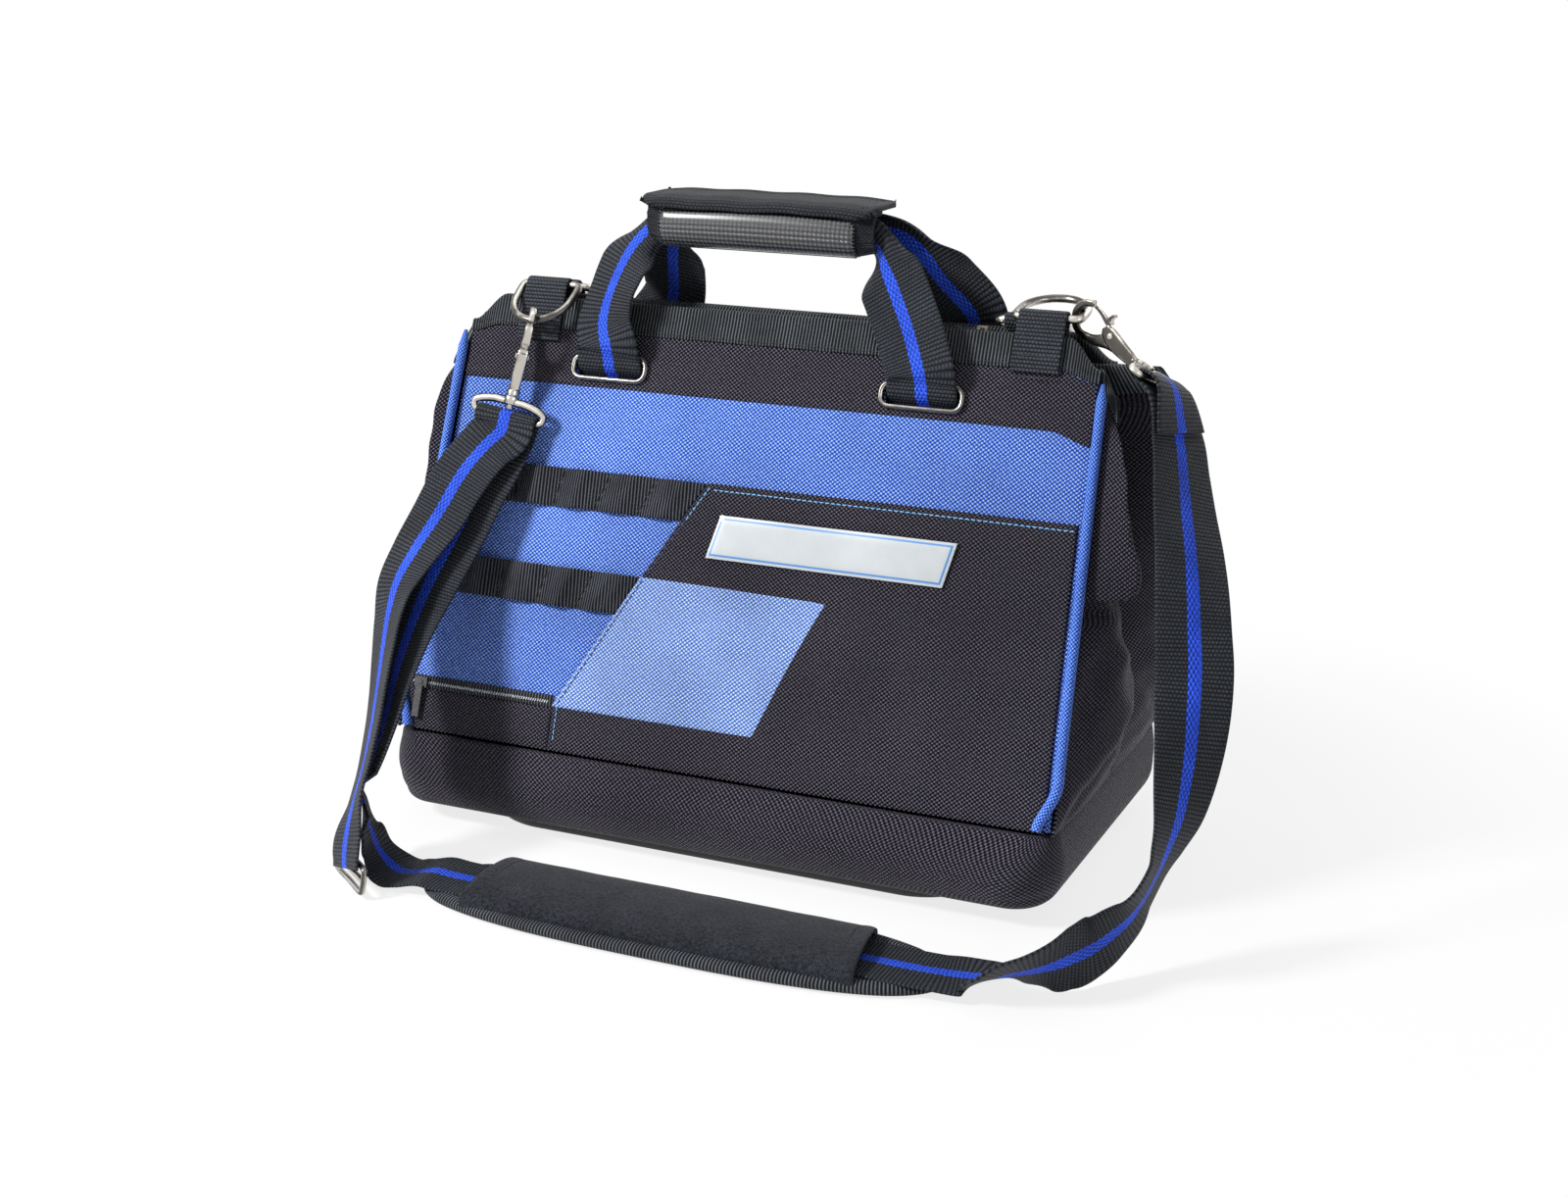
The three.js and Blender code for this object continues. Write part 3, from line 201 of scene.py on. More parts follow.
def worldLight():
    world = bpy.data.worlds.new("studio")
    bpy.context.scene.world = world
    world.use_nodes = True
    t = world.node_tree
    back = t.nodes["Background"]
    give(back, {"Color": (1, 1, 1, 1)})
    t.links.new(remap(t, seenRay(t), 0, 1, studio["fill"], 1), back.inputs["Strength"])


worldLight()


# Coarse plain weave: bumps on a checker, lit on the thread crests as a painted highlight and dark between
# the threads as painted shade, and a slow change of tone
def wovenCloth(name, dark, light, depth, periodU=0.0027, periodV=0.0023, roughness=0.5):
    material, t, shader = tree(name)
    found, u, v = uvParts(t)
    drift = noise(t, found["UV"], 220, 2)
    thread = cells(t, calc(t, "ADD", u, calc(t, "MULTIPLY", drift, 0.0005)), v, periodU, periodV)
    tone = mottled(t, found["Object"], 8, 3, 0.72, 1.2)
    speck = mottled(t, found["UV"], 800, 2, 0.45, 1.6)
    # painted highlight on the thread crests and painted shade between them, varied by specks
    lit = calc(t, "MULTIPLY", remap(t, thread, -0.15, 0.6, 0, 1), speck, True)
    clothColor(t, shader, blendColor(t, lit, dark, light), tone)
    give(shader, {"Roughness": roughness})
    bump(t, shader, calc(t, "ADD", thread, calc(t, "MULTIPLY", speck, 0.3)), 0.9, depth)
    return material


# Webbing: u runs across it and v along it, in metres. Ribs of short threads, lit on their crests as a
# painted highlight and dark in the gaps as painted shade, and an optional speckled stripe along the middle
def webbingCloth(name, base, lit, stripe=None, periodU=0.002, periodV=0.0042):
    material, t, shader = tree(name)
    found, u, v = uvParts(t)
    rib = calc(t, "ABSOLUTE", wave(t, v, periodV))
    thread = cells(t, u, v, periodU, periodV)
    height = calc(t, "ADD", calc(t, "MULTIPLY", rib, 0.8), calc(t, "MULTIPLY", thread, 0.32))
    speck = mottled(t, found["Object"], 900, 2, 0.55, 1.4)
    # colour from the rib height: painted highlight on the crests, painted shade in the gaps
    color = blendColor(t, calc(t, "MULTIPLY", remap(t, height, 0.15, 0.95, 0, 1), speck, True), base, lit)
    if stripe:
        inside = calc(t, "LESS_THAN", calc(t, "ABSOLUTE", u), stripe["half"])
        dash = remap(t, cells(t, u, v, stripe["pitch"], 0.0042), -0.4, 0.4, 0.2, 1)
        dashed = blendColor(t, calc(t, "MULTIPLY", dash, speck, True), stripe["dark"], stripe["light"])
        color = blendColor(t, inside, color, dashed)
    clothColor(t, shader, color, mottled(t, found["Object"], 40, 3, 0.75, 1.2))
    give(shader, {"Roughness": 0.55, "Sheen Weight": 0.03})
    bump(t, shader, height, 0.9, 0.0006)
    return material


# Binding tape: fine ribs straight across it, u along the tape, each rib lit on its crest as a painted
# highlight and dark in its gap as painted shade
def ribbedCloth(name, base, lit, pitch=0.0019):
    material, t, shader = tree(name)
    found, u, v = uvParts(t)
    rib, pick = wave(t, u, pitch), wave(t, v, 0.0009)
    # painted highlight on the rib crests and painted shade between them
    color = blendColor(t, remap(t, rib, -0.3, 0.9, 0, 1), base, lit)
    clothColor(t, shader, color, mottled(t, found["Object"], 60, 3, 0.7, 1.25))
    give(shader, {"Roughness": 0.55})
    bump(t, shader, calc(t, "ADD", rib, calc(t, "MULTIPLY", pick, 0.25)), 0.85, 0.0004)
    return material


# Glossy vinyl pressed with a diamond weave: bumps along both diagonals, lit on their crests as a painted
# highlight and dark between them as painted shade
def diamondVinyl(name, dark, light, pitch):
    material, t, shader = tree(name)
    _, u, v = uvParts(t)
    cell = cells(t, calc(t, "ADD", u, v), calc(t, "SUBTRACT", u, v), pitch, pitch)
    # painted highlight on the cell crests and painted shade between them
    t.links.new(blendColor(t, remap(t, cell, -0.2, 0.6, 0, 1), dark, light), shader.inputs["Base Color"])
    give(shader, {"Roughness": 0.3, "Coat Weight": 0.8, "Coat Roughness": 0.22})
    bump(t, shader, cell, 0.9, 0.0005)
    return material


# v goes once round a wire in 10 mm: two dark and two light painted reflection streaks follow it, wobbled by
# noise that also varies the roughness as wear
def polishedNickel(name, dark, light):
    material, t, shader = tree(name)
    found, _, v = uvParts(t)
    wearAndReflectionWobble = noise(t, found["Object"], 130, 3)
    turn = calc(t, "ADD", calc(t, "MULTIPLY", v, 4 * math.pi / 0.01), calc(t, "MULTIPLY", wearAndReflectionWobble, 3.0))
    # painted reflection: dark and light streaks round the wire stand in for the reflected surroundings
    paintedReflection = remap(t, calc(t, "SINE", turn), -0.7, 0.8, 0, 1)
    t.links.new(blendColor(t, paintedReflection, dark, light), shader.inputs["Base Color"])
    give(shader, {"Metallic": 1})
    t.links.new(remap(t, wearAndReflectionWobble, 0.3, 0.75, 0.2, 0.34), shader.inputs["Roughness"])
    bump(t, shader, noise(t, found["Object"], 900, 3), 0.12, 0.0001)
    return material


# Brushed knit: short fibres as fine noise, the fibres lit at random as a painted highlight, and a faint
# sheen
def softFleece(name, base, lit):
    material, t, shader = tree(name)
    where = coordinates(t)["Object"]
    fibre = noise(t, where, 620, 4, 0.75)
    # painted highlight on the fibres, at random
    color = blendColor(t, remap(t, fibre, 0.35, 0.68, 0, 1), base, lit)
    clothColor(t, shader, color, mottled(t, where, 60, 3, 0.75, 1.25))
    give(shader, {"Roughness": 0.92, "Sheen Weight": 0.12})
    bump(t, shader, fibre, 0.8, 0.0006)
    return material


# Knitted mesh laid on by its place: rows of small open cells, the strands lit as a painted highlight and
# the cells dark as painted shade
def spacerMesh(name, base, lit, pitch):
    material, t, shader = tree(name)
    where = coordinates(t)["Object"]
    parts = parted(t, where)
    cell = cells(t, parts["X"], calc(t, "ADD", parts["Y"], parts["Z"]), pitch, pitch)
    # painted highlight on the strands and painted shade in the cells
    color = blendColor(t, remap(t, cell, -0.2, 0.6, 0, 1), base, lit)
    clothColor(t, shader, color, mottled(t, where, 50, 3, 0.7, 1.2))
    give(shader, {"Roughness": 0.7})
    bump(t, shader, cell, 0.8, 0.0005)
    return material


def mouldedRubber(name, dark, light):
    material, t, shader = tree(name)
    where = coordinates(t)["Object"]
    grain = noise(t, where, 1600, 4)
    t.links.new(blendColor(t, noise(t, where, 25, 3), dark, light), shader.inputs["Base Color"])
    t.links.new(remap(t, grain, 0.3, 0.7, 0.42, 0.62), shader.inputs["Roughness"])
    bump(t, shader, grain, 0.35, 0.0002)
    return material


# Twisted thread: fine turns along the object as noise, darker where it is low as painted shade in the
# hollows of the twist
def plainThread(name, color):
    material, t, shader = tree(name)
    twist = noise(t, coordinates(t)["Object"], 2500, 2)
    # painted shade in the hollows of the twist
    hollow = tuple(c * 0.65 for c in color)
    t.links.new(blendColor(t, twist, hollow, color), shader.inputs["Base Color"])
    give(shader, {"Roughness": 0.55})
    bump(t, shader, twist, 0.4, 0.0001)
    return material


# Moulded coil: satin, mottled at random between a darker and a lit tone, as painted shade in its hollows
# and a painted highlight
def zipCoil(name, base, lit):
    material, t, shader = tree(name)
    # grain here is the painted shade and highlight mottle
    grain = paintedShadeMottle(t)
    t.links.new(blendColor(t, grain, base, lit), shader.inputs["Base Color"])
    give(shader, {"Roughness": 0.38})
    return material


# random mottle of painted shade and painted highlight
def paintedShadeMottle(t):
    return remap(t, noise(t, coordinates(t)["Object"], 900, 2), 0.35, 0.65, 0, 1)


# Glossy pale plate with a thin blue rim line a little inside its edge
def labelPlateFinish(name, long=0.136, high=0.024):
    material, t, shader = tree(name)
    found, u, v = uvParts(t)
    near = [calc(t, "MINIMUM", w, calc(t, "SUBTRACT", size, w)) for w, size in ((u, long), (v, high))]
    edge = calc(t, "MINIMUM", *near)
    line = calc(t, "MULTIPLY", remap(t, edge, 0.0012, 0.0015, 0, 1), remap(t, edge, 0.0026, 0.0023, 0, 1))
    haze = remap(t, noise(t, found["Object"], 70, 3), 0.35, 0.65, 0, 1)
    ground = blendColor(t, haze, (0.42, 0.45, 0.465), (0.45, 0.48, 0.495))
    t.links.new(blendColor(t, line, ground, (0.05, 0.2, 0.5)), shader.inputs["Base Color"])
    give(shader, {"Roughness": 0.4, "Coat Weight": 0.3, "Coat Roughness": 0.08})
    bump(t, shader, noise(t, found["Object"], 500, 2), 0.12, 0.0002)
    return material


# The two colours of each cloth, webbing, tape, vinyl, fleece and mesh finish below are the painted shade in
# its gaps and the painted highlight on its crests
webbingDark = (0.0018, 0.0022, 0.003)
finish = {
    "black": wovenCloth("blackCloth", (0.002, 0.0018, 0.003), (0.15, 0.136, 0.182), 0.0008),
    "blue": wovenCloth("blueCloth", (0.018, 0.07, 0.58), (0.44, 0.68, 0.98), 0.0007),
    "paleBlue": wovenCloth("patchCloth", (0.1, 0.2, 0.74), (0.72, 0.93, 1.0), 0.0007),
    "lining": wovenCloth("liningCloth", (0.03, 0.03, 0.034), (0.06, 0.06, 0.068), 0.0001, 0.0012, 0.0012,
                         0.7),
    "webbing": webbingCloth("plainWebbing", webbingDark, (0.052, 0.059, 0.074)),
    "striped": webbingCloth("stripedWebbing", webbingDark, (0.043, 0.049, 0.062),
                            stripe={"half": 0.0034, "pitch": 0.0024, "dark": (0.004, 0.012, 0.14),
                                    "light": (0.04, 0.13, 1.0)}),
    "ladder": ribbedCloth("ladderWebbing", (0.0015, 0.0016, 0.0025), (0.085, 0.09, 0.11), 0.0018),
    "meshCloth": webbingCloth("gripWebbing", webbingDark, (0.033, 0.037, 0.046), periodU=0.0024,
                              periodV=0.0026),
    "binding": ribbedCloth("bindingTape", (0.004, 0.005, 0.006), (0.105, 0.115, 0.128)),
    "blueTape": wovenCloth("pipingTape", (0.015, 0.06, 0.45), (0.24, 0.46, 1.0), 0.0003, 0.0022, 0.0022),
    "padBinding": ribbedCloth("padBinding", (0.004, 0.005, 0.006), (0.12, 0.128, 0.146), 0.0019),
    "vinyl": diamondVinyl("diamondVinyl", (0.004, 0.004, 0.005), (0.07, 0.072, 0.08), 0.0052),
    # the nickel's dark and light colours are its painted reflection streaks
    "nickel": polishedNickel("polishedNickel", (0.1, 0.094, 0.084), (0.56, 0.53, 0.48)),
    "fleece": softFleece("padFleece", (0.002, 0.002, 0.003), (0.032, 0.036, 0.047)),
    "padMesh": spacerMesh("padMesh", (0.004, 0.004, 0.005), (0.15, 0.16, 0.19), 0.0026),
    "moulded": mouldedRubber("mouldedSlab", (0.012, 0.012, 0.014), (0.026, 0.026, 0.029)),
    "blackThread": plainThread("blackThread", (0.02, 0.02, 0.024)),
    "blueThread": plainThread("paleBlueThread", (0.2, 0.52, 0.95)),
    "navyThread": plainThread("navyThread", (0.02, 0.035, 0.14)),
    "coil": zipCoil("ridgeCoil", (0.01, 0.01, 0.011), (0.05, 0.05, 0.054)),
    "paleCoil": zipCoil("pocketCoil", (0.3, 0.31, 0.34), (0.75, 0.77, 0.82)),
    "label": labelPlateFinish("labelPlate"),
}
print("finishes made")


# Shapes below are worked out in millimetres and become metres in their mesh.
def addPiece(name, points, faces, uv=None, materials=("black",), index=None, sharp=40):
    mesh = bpy.data.meshes.new(name)
    mesh.from_pydata((np.asarray(points, float).reshape(-1, 3) * mm).tolist(), [], faces)
    if uv is not None:
        layer = mesh.uv_layers.new(name="UVMap")
        layer.data.foreach_set("uv", (np.asarray(uv, float) * mm).astype(np.float32).ravel())
    for m in materials:
        mesh.materials.append(finish[m])
    if index is not None:
        mesh.polygons.foreach_set("material_index", np.asarray(index, np.int32))
    mesh.polygons.foreach_set("use_smooth", np.ones(len(mesh.polygons), bool))
    mesh.update()
    mesh.calc_loop_triangles()
    co = np.empty(len(mesh.vertices) * 3, np.float32)
    mesh.vertices.foreach_get("co", co)
    co = co.reshape(-1, 3).astype(float) * 1000
    tri = np.empty(len(mesh.loop_triangles) * 3, np.int32)
    mesh.loop_triangles.foreach_get("vertices", tri)
    a, b, c = (co[tri.reshape(-1, 3)[:, k]] for k in range(3))
    if np.einsum("ij,ij->i", a, np.cross(b, c)).sum() < 0:
        mesh.flip_normals()
    if sharp:
        mesh.set_sharp_from_angle(angle=math.radians(sharp))
    piece = bpy.data.objects.new(name, mesh)
    bpy.context.scene.collection.objects.link(piece)
    return piece


# A quad between each four neighbours of points[row, column], joined up across, and along if asked, with
# flat caps on the first and last rows. uv has one more row or column where it closes.
def gridMesh(name, points, uv=None, material="black", closeAlong=False, caps=True, sharp=40):
    rows, columns = points.shape[:2]
    r = np.arange(rows if closeAlong else rows - 1)
    c = np.arange(columns)
    i, j = (a.ravel() for a in np.meshgrid(r, c, indexing="ij"))
    i2, j2 = (i + 1) % rows, (j + 1) % columns
    faces = np.stack([i * columns + j, i * columns + j2, i2 * columns + j2, i2 * columns + j], -1).tolist()
    if caps:
        faces.append(list(range(columns))[::-1])
        faces.append(list(range((rows - 1) * columns, rows * columns)))
    flat = None
    if uv is not None:
        wide = uv.shape[1]
        corner = np.stack([i * wide + j, i * wide + j + 1, (i + 1) * wide + j + 1, (i + 1) * wide + j], -1)
        flat = uv.reshape(-1, 2)[corner.ravel()]
        if caps:
            flat = np.concatenate([flat, uv[0, :columns][::-1], uv[rows - 1, :columns]])
    return addPiece(name, points, faces, flat, (material,), sharp=sharp)


# A closed skin: outer[row, column] and inner[row, column] joined round their rims and round any hole,
# where hole[row, column] is true for the cells left out
def shell(name, outer, inner, uv, material="black", lining=None, hole=None, sharp=40):
    rows, columns = outer.shape[:2]
    back = rows * columns
    keep = np.zeros((rows + 1, columns + 1), bool)
    keep[1:rows, 1:columns] = True if hole is None else ~hole
    i, j = np.nonzero(keep[1:rows, 1:columns])
    at = lambda a, b: a * columns + b
    face = np.stack([at(i, j), at(i, j + 1), at(i + 1, j + 1), at(i + 1, j)], -1)
    wall = []
    for di, dj, start, end in ((-1, 0, (0, 0), (0, 1)), (0, 1, (0, 1), (1, 1)), (1, 0, (1, 1), (1, 0)),
                               (0, -1, (1, 0), (0, 0))):
        edge = ~keep[i + 1 + di, j + 1 + dj]
        a, b = at(i[edge] + start[0], j[edge] + start[1]), at(i[edge] + end[0], j[edge] + end[1])
        wall.append(np.stack([a, a + back, b + back, b], -1))
    wall = np.concatenate(wall)
    faces = np.concatenate([face, face[:, ::-1] + back, wall])
    flat = uv.reshape(-1, 2)[faces.ravel() % back]
    index = None
    if lining:
        index = np.zeros(len(faces), np.int32)
        index[len(face):2 * len(face)] = 1
    used = np.unique(faces)
    renumber = np.zeros(2 * back, int)
    renumber[used] = np.arange(len(used))
    points = np.concatenate([outer.reshape(-1, 3), inner.reshape(-1, 3)])[used]
    return addPiece(name, points, renumber[faces].tolist(), flat,
                    (material, lining) if lining else (material,), index, sharp)


def unit(v):
    return v / np.maximum(np.linalg.norm(v, axis=-1, keepdims=True), 1e-12)


def lengths(line):
    return np.concatenate([[0], np.cumsum(np.linalg.norm(np.diff(line, axis=0), axis=1))])


def smooth(t):
    t = np.clip(t, 0, 1)
    return t * t * (3 - 2 * t)


def lerp(a, b, t):
    return a + (b - a) * t


# A bell of the given width: e to the minus (x / width) squared
def bell(x, width):
    return np.exp(-((x / width) ** 2))


def uvGrid(along, around):
    return np.stack(np.meshgrid(along, around, indexing="ij"), -1)


# Centripetal Catmull-Rom line through the points, count places evenly along it; values given at the
# points are carried along by a uniform Catmull-Rom of their own
def curve(points, count, values=None, closed=False):
    p = np.asarray(points, float)
    q = None if values is None else np.asarray(values, float)
    if closed:
        p = np.concatenate([p[-1:], p, p[:2]])
        q = None if q is None else np.concatenate([q[-1:], q, q[:2]])
    else:
        p = np.concatenate([[2 * p[0] - p[1]], p, [2 * p[-1] - p[-2]]])
        q = None if q is None else np.concatenate([q[:1], q, q[-1:]])
    knots = np.concatenate([[0], np.cumsum(np.maximum(np.linalg.norm(np.diff(p, axis=0), axis=1),
                                                      1e-9) ** 0.5)])
    t = np.linspace(knots[1], knots[-2], max(count * 8, 600))
    k = np.clip(np.searchsorted(knots, t, side="right") - 1, 1, len(p) - 3)
    k0, k1, k2, k3 = (knots[k + o] for o in (-1, 0, 1, 2))

    def between(a, b, ta, tb):
        return ((tb - t) / (tb - ta))[:, None] * a + ((t - ta) / (tb - ta))[:, None] * b

    a1 = between(p[k - 1], p[k], k0, k1)
    a2 = between(p[k], p[k + 1], k1, k2)
    a3 = between(p[k + 1], p[k + 2], k2, k3)
    line = between(between(a1, a2, k0, k2), between(a2, a3, k1, k3), k1, k2)
    long = lengths(line)
    at = np.linspace(0, long[-1], count + (1 if closed else 0))[:count]
    even = np.stack([np.interp(at, long, line[:, d]) for d in range(3)], -1)
    if q is None:
        return even
    f = ((t - k1) / (k2 - k1))[:, None]
    c0, c1, c2, c3 = q[k - 1], q[k], q[k + 1], q[k + 2]
    carried = c1 + 0.5 * f * (c2 - c0 + f * (2 * c0 - 5 * c1 + 4 * c2 - c3 + f * (3 * (c1 - c2) + c3 - c0)))
    return even, np.stack([np.interp(at, long, carried[:, d]) for d in range(q.shape[1])], -1)


# A section turned along a line with as little twist as possible: ring angle by ring angle
def frameAlong(line, closed=False, first=(0.0, 0.3, 1.0)):
    along = unit(np.roll(line, -1, 0) - np.roll(line, 1, 0)) if closed else unit(np.gradient(line, axis=0))
    n = np.empty_like(line)
    n[0] = unit(np.cross(along[0], first))
    for k in range(1, len(line)):
        n[k] = unit(n[k - 1] - along[k] * np.dot(n[k - 1], along[k]))
    b = np.cross(along, n)
    if closed:
        end = unit(n[-1] - along[0] * np.dot(n[-1], along[0]))
        miss = math.atan2(float(np.dot(end, b[0])), float(np.dot(end, n[0])))
        turn = (-miss * np.arange(len(line)) / len(line))[:, None]
        n, b = n * np.cos(turn) + b * np.sin(turn), b * np.cos(turn) - n * np.sin(turn)
    return n, b


# A round section of the given radius carried along a line
def tube(name, line, radius, material, closed=False, sides=16, squash=1.0, first=(0.0, 0.3, 1.0)):
    n, b = frameAlong(line, closed, first)
    angle = 2 * np.pi * np.arange(sides) / sides
    r = np.broadcast_to(np.asarray(radius, float), (len(line),))[:, None, None]
    ring = n[:, None] * np.cos(angle)[None, :, None] + b[:, None] * (np.sin(angle) * squash)[None, :, None]
    long = lengths(line)
    if closed:
        long = np.append(long, long[-1] + np.linalg.norm(line[0] - line[-1]))
    # for nickel, v runs 0 to 10 once round, so that its painted reflection streaks follow the wire
    around = np.linspace(0, 10 if material == "nickel" else 2 * np.pi * float(np.max(radius)), sides + 1)
    uv = uvGrid(long, around)
    return gridMesh(name, line[:, None] + ring * r, uv, material, closeAlong=closed, caps=not closed,
                    sharp=60)


# Flat webbing with rounded edges carried along a line, its width along across. roll curls it about its
# own length by that angle each side of the middle, keep is how much of the curl's depth is left.
def webbing(name, line, across, half, thick, material="webbing", roll=None, keep=0.45):
    count = len(line)
    along = unit(np.gradient(line, axis=0))
    w = unit(across - along * np.einsum("ij,ij->i", across, along)[:, None])
    n = np.cross(along, w)
    half = np.broadcast_to(np.asarray(half, float), (count,))[:, None]
    thick = np.broadcast_to(np.asarray(thick, float), (count,))[:, None] / 2
    phi = np.maximum(np.zeros(count) if roll is None else roll, 1e-3)[:, None]
    lie = np.linspace(-1, 1, 21)
    turn = np.linspace(-np.pi / 2, np.pi / 2, 5)[1:-1]
    a = np.concatenate([lie, np.ones(3), lie[::-1], -np.ones(3)])
    o = np.concatenate([-np.ones(21), np.sin(turn), np.ones(21), -np.sin(turn)])
    bow = np.concatenate([np.zeros(21), np.cos(turn), np.zeros(21), -np.cos(turn)])
    radius = half / phi
    out = o[None] * thick * np.where(np.abs(a) == 1, 0.9, 1)[None]
    sideways = (radius - out * keep) * np.sin(a[None] * phi) + bow[None] * thick * 0.8
    depth = (radius * (1 - np.cos(a[None] * phi))) * keep
    points = line[:, None] + w[:, None] * sideways[..., None] + n[:, None] * (out - depth)[..., None]
    long = lengths(line)
    ring = np.append(a, a[0])
    uv = np.stack([half * ring[None], np.repeat(long[:, None], len(ring), 1)], -1)
    return gridMesh(name, points, uv, material, sharp=55)


# Short six-sided spindles, one at each centre: ahead is their long way, out their upper side
def spindles(name, center, ahead, out, length, radius, material, flat=1.0):
    side = unit(np.cross(out, ahead))
    steps = np.array([-1, -0.8, -0.3, 0.3, 0.8, 1.0])
    width = np.array([0.3, 0.8, 1, 1, 0.8, 0.3])
    angle = 2 * np.pi * np.arange(6) / 6
    ring = np.stack([width[:, None] * np.cos(angle)[None], width[:, None] * np.sin(angle)[None] * flat],
                    -1) * radius
    p = (center[:, None, None] + ahead[:, None, None] * (steps * length / 2)[None, :, None, None]
         + side[:, None, None] * ring[None, ..., 0, None] + out[:, None, None] * ring[None, ..., 1, None])
    r, k = (x.ravel() for x in np.meshgrid(np.arange(5), np.arange(6), indexing="ij"))
    quad = np.stack([r * 6 + k, r * 6 + (k + 1) % 6, (r + 1) * 6 + (k + 1) % 6, (r + 1) * 6 + k], -1)
    move = (np.arange(len(center)) * 36)[:, None, None]
    faces = (quad[None] + move).reshape(-1, 4).tolist()
    for cap in (np.arange(5, -1, -1), np.arange(30, 36)):
        faces += (cap[None] + move[:, 0]).tolist()
    return addPiece(name, p, faces, None, (material,), sharp=None)


# Sewn stitches end to end along a line that lies on a surface with the given normals
def stitches(name, line, normal, material, pitch, length, radius):
    long = lengths(line)
    middle = np.arange(pitch / 2, long[-1], pitch)
    at = lambda s, data: np.stack([np.interp(s, long, data[:, d]) for d in range(3)], -1)
    ahead = unit(at(np.minimum(middle + 1, long[-1]), line) - at(np.maximum(middle - 1, 0), line))
    return spindles(name, at(middle, line), ahead, unit(at(middle, normal)), length, radius, material, 0.8)


def joined(name, *pieces):
    with bpy.context.temp_override(active_object=pieces[0], selected_editable_objects=pieces,
                                   selected_objects=pieces, object=pieces[0]):
        bpy.ops.object.join()
    pieces[0].name = name
    pieces[0].data.name = name
    return pieces[0]


def settle(piece, body, slotName, *replaced):
    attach(piece, body)
    if replaced:
        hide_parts(*replaced)


# Base slab: rounded rectangles one above another, from its foot to its top
def roundedRing(halfX, halfY, corner, z, perCorner=16):
    angle = np.linspace(0, np.pi / 2, perCorner + 1)
    r = min(corner, halfX, halfY)
    ring = []
    for start, sx, sy in ((0, 1, 1), (1, -1, 1), (2, -1, -1), (3, 1, -1)):
        a = angle + start * np.pi / 2
        ring.append(np.stack([sx * (halfX - r) + r * np.cos(a), sy * (halfY - r) + r * np.sin(a),
                              np.full_like(a, z)], -1))
    return np.concatenate(ring)


slab = {"halfX": 151, "halfY": 93, "corner": 40,
        "side": ((4.2, 0), (2.2, 0.25), (0.9, 1.1), (0.2, 2.6), (0, 4.2), (0, 7.2), (0.4, 8.3), (1.4, 8.9),
                 (3, 9))}
rings = np.stack([roundedRing(slab["halfX"] - inset, slab["halfY"] - inset, slab["corner"] - inset, z)
                  for inset, z in slab["side"]])
settle(gridMesh("slabBlock", rings, None, "moulded"), "root", "moulded_slab", "base_slab")


# Tub: its wall goes down from the rim over the belly to its floor, then up inside
tub = {"halfX": 200, "halfY": 114, "wall": 4, "floor": 9.3,
       "corner": ((9.3, 14), (12, 22), (17, 30), (26, 32), (37, 25), (50, 14)),
       "side": ((18, 18, 9.3), (11, 11, 9.9), (5.6, 5.6, 12.4), (2.2, 2.2, 17), (0.6, 0.6, 21.5),
                (0, 0, 26),
                (0.1, 0.8, 31), (0.5, 3.0, 37), (1.2, 7.4, 43.5), (2.0, 12.2, 49.0), (2.6, 13.4, 50.2)),
       "crease": 0.8}


def tubRings():
    rows = np.array(tub["side"], float)
    fine = curve(rows, 42)
    fine[:, 2] = np.maximum(fine[:, 2], tub["floor"])
    corner = lambda z: float(np.interp(z, *np.array(tub["corner"]).T))
    outside = np.stack([roundedRing(tub["halfX"] - a, tub["halfY"] - b, corner(z), z, 22)
                        for a, b, z in fine])
    center = outside * [0, 0, 1] + np.clip(outside, [-168, -82, 0], [168, 82, 0]) * [1, 1, 0]
    away = unit((outside - center) * [1, 1, 0])
    x, y, z = outside[..., 0], outside[..., 1], outside[..., 2]
    ripple = 0.45 * np.sin(x / 19 + z / 9) * np.sin(z / 17 + 1) + 0.35 * np.sin(y / 13 - z / 7
            + 0.6) + 0.3 * np.sin((x + y) / 8.3)
    calm = smooth((z - 12) / 8) * smooth((50 - z) / 6)
    atCorner = bell(np.abs(x) - 178, 26) * bell(np.abs(y) - 94, 24)
    fold = atCorner * 1.1 * np.sin((x * np.sign(y) + y * np.sign(x)) / 5.2) * smooth((z - 22) / 10)
    outside = outside + away * ((ripple * calm + fold * calm) * tub["crease"])[..., None]
    rows = np.array([(18, 18, 13.3), (8, 8, 13.6), (3, 3, 18), (0.4, 0.4, 26), (0.6, 4, 37),
                     (2.4, 13, 50.1)])
    inside = np.stack([roundedRing(tub["halfX"] - tub["wall"] - a, tub["halfY"] - tub["wall"] - b,
                                   corner(z) - 3, z, 22) for a, b, z in rows])
    return np.concatenate([outside, inside[::-1]])


def ringUv(points):
    middle = points[len(points) // 4]
    around = np.append(lengths(middle), lengths(middle)[-1] + np.linalg.norm(middle[0] - middle[-1]))
    down = lengths(points[:, 5])
    return np.stack(np.meshgrid(around, down, indexing="xy"), -1)


rings = tubRings()
settle(gridMesh("tubCloth", rings, ringUv(rings), "black", sharp=60), "root", "black_cloth", "tub")
print("slab and tub made")


# Side panels. A place on one is given by x along it, s up its slope and lift out of its face.
words = {-1: "front", 1: "back"}
hands = {-1: "left", 1: "right"}
panel = {"seamY": 98, "slope": 254, "topY": 8.6, "halfBottom": 195, "halfTop": 187, "bulge": 4, "thick": 3,
         "hingeZ": 51.5, "ridgeHalf": 168, "cornerDrop": 16, "slotX": 93.5, "slotS": 217, "slotHalfX": 21.5,
         "slotHalfS": 5,
         "wave": 0.8, "bandLow": 206, "bindingLow": 237, "piping": 2.8, "pipingTop": 232}
upY = (panel["seamY"] - panel["topY"]) / panel["slope"]
upZ = math.sqrt(1 - upY * upY)


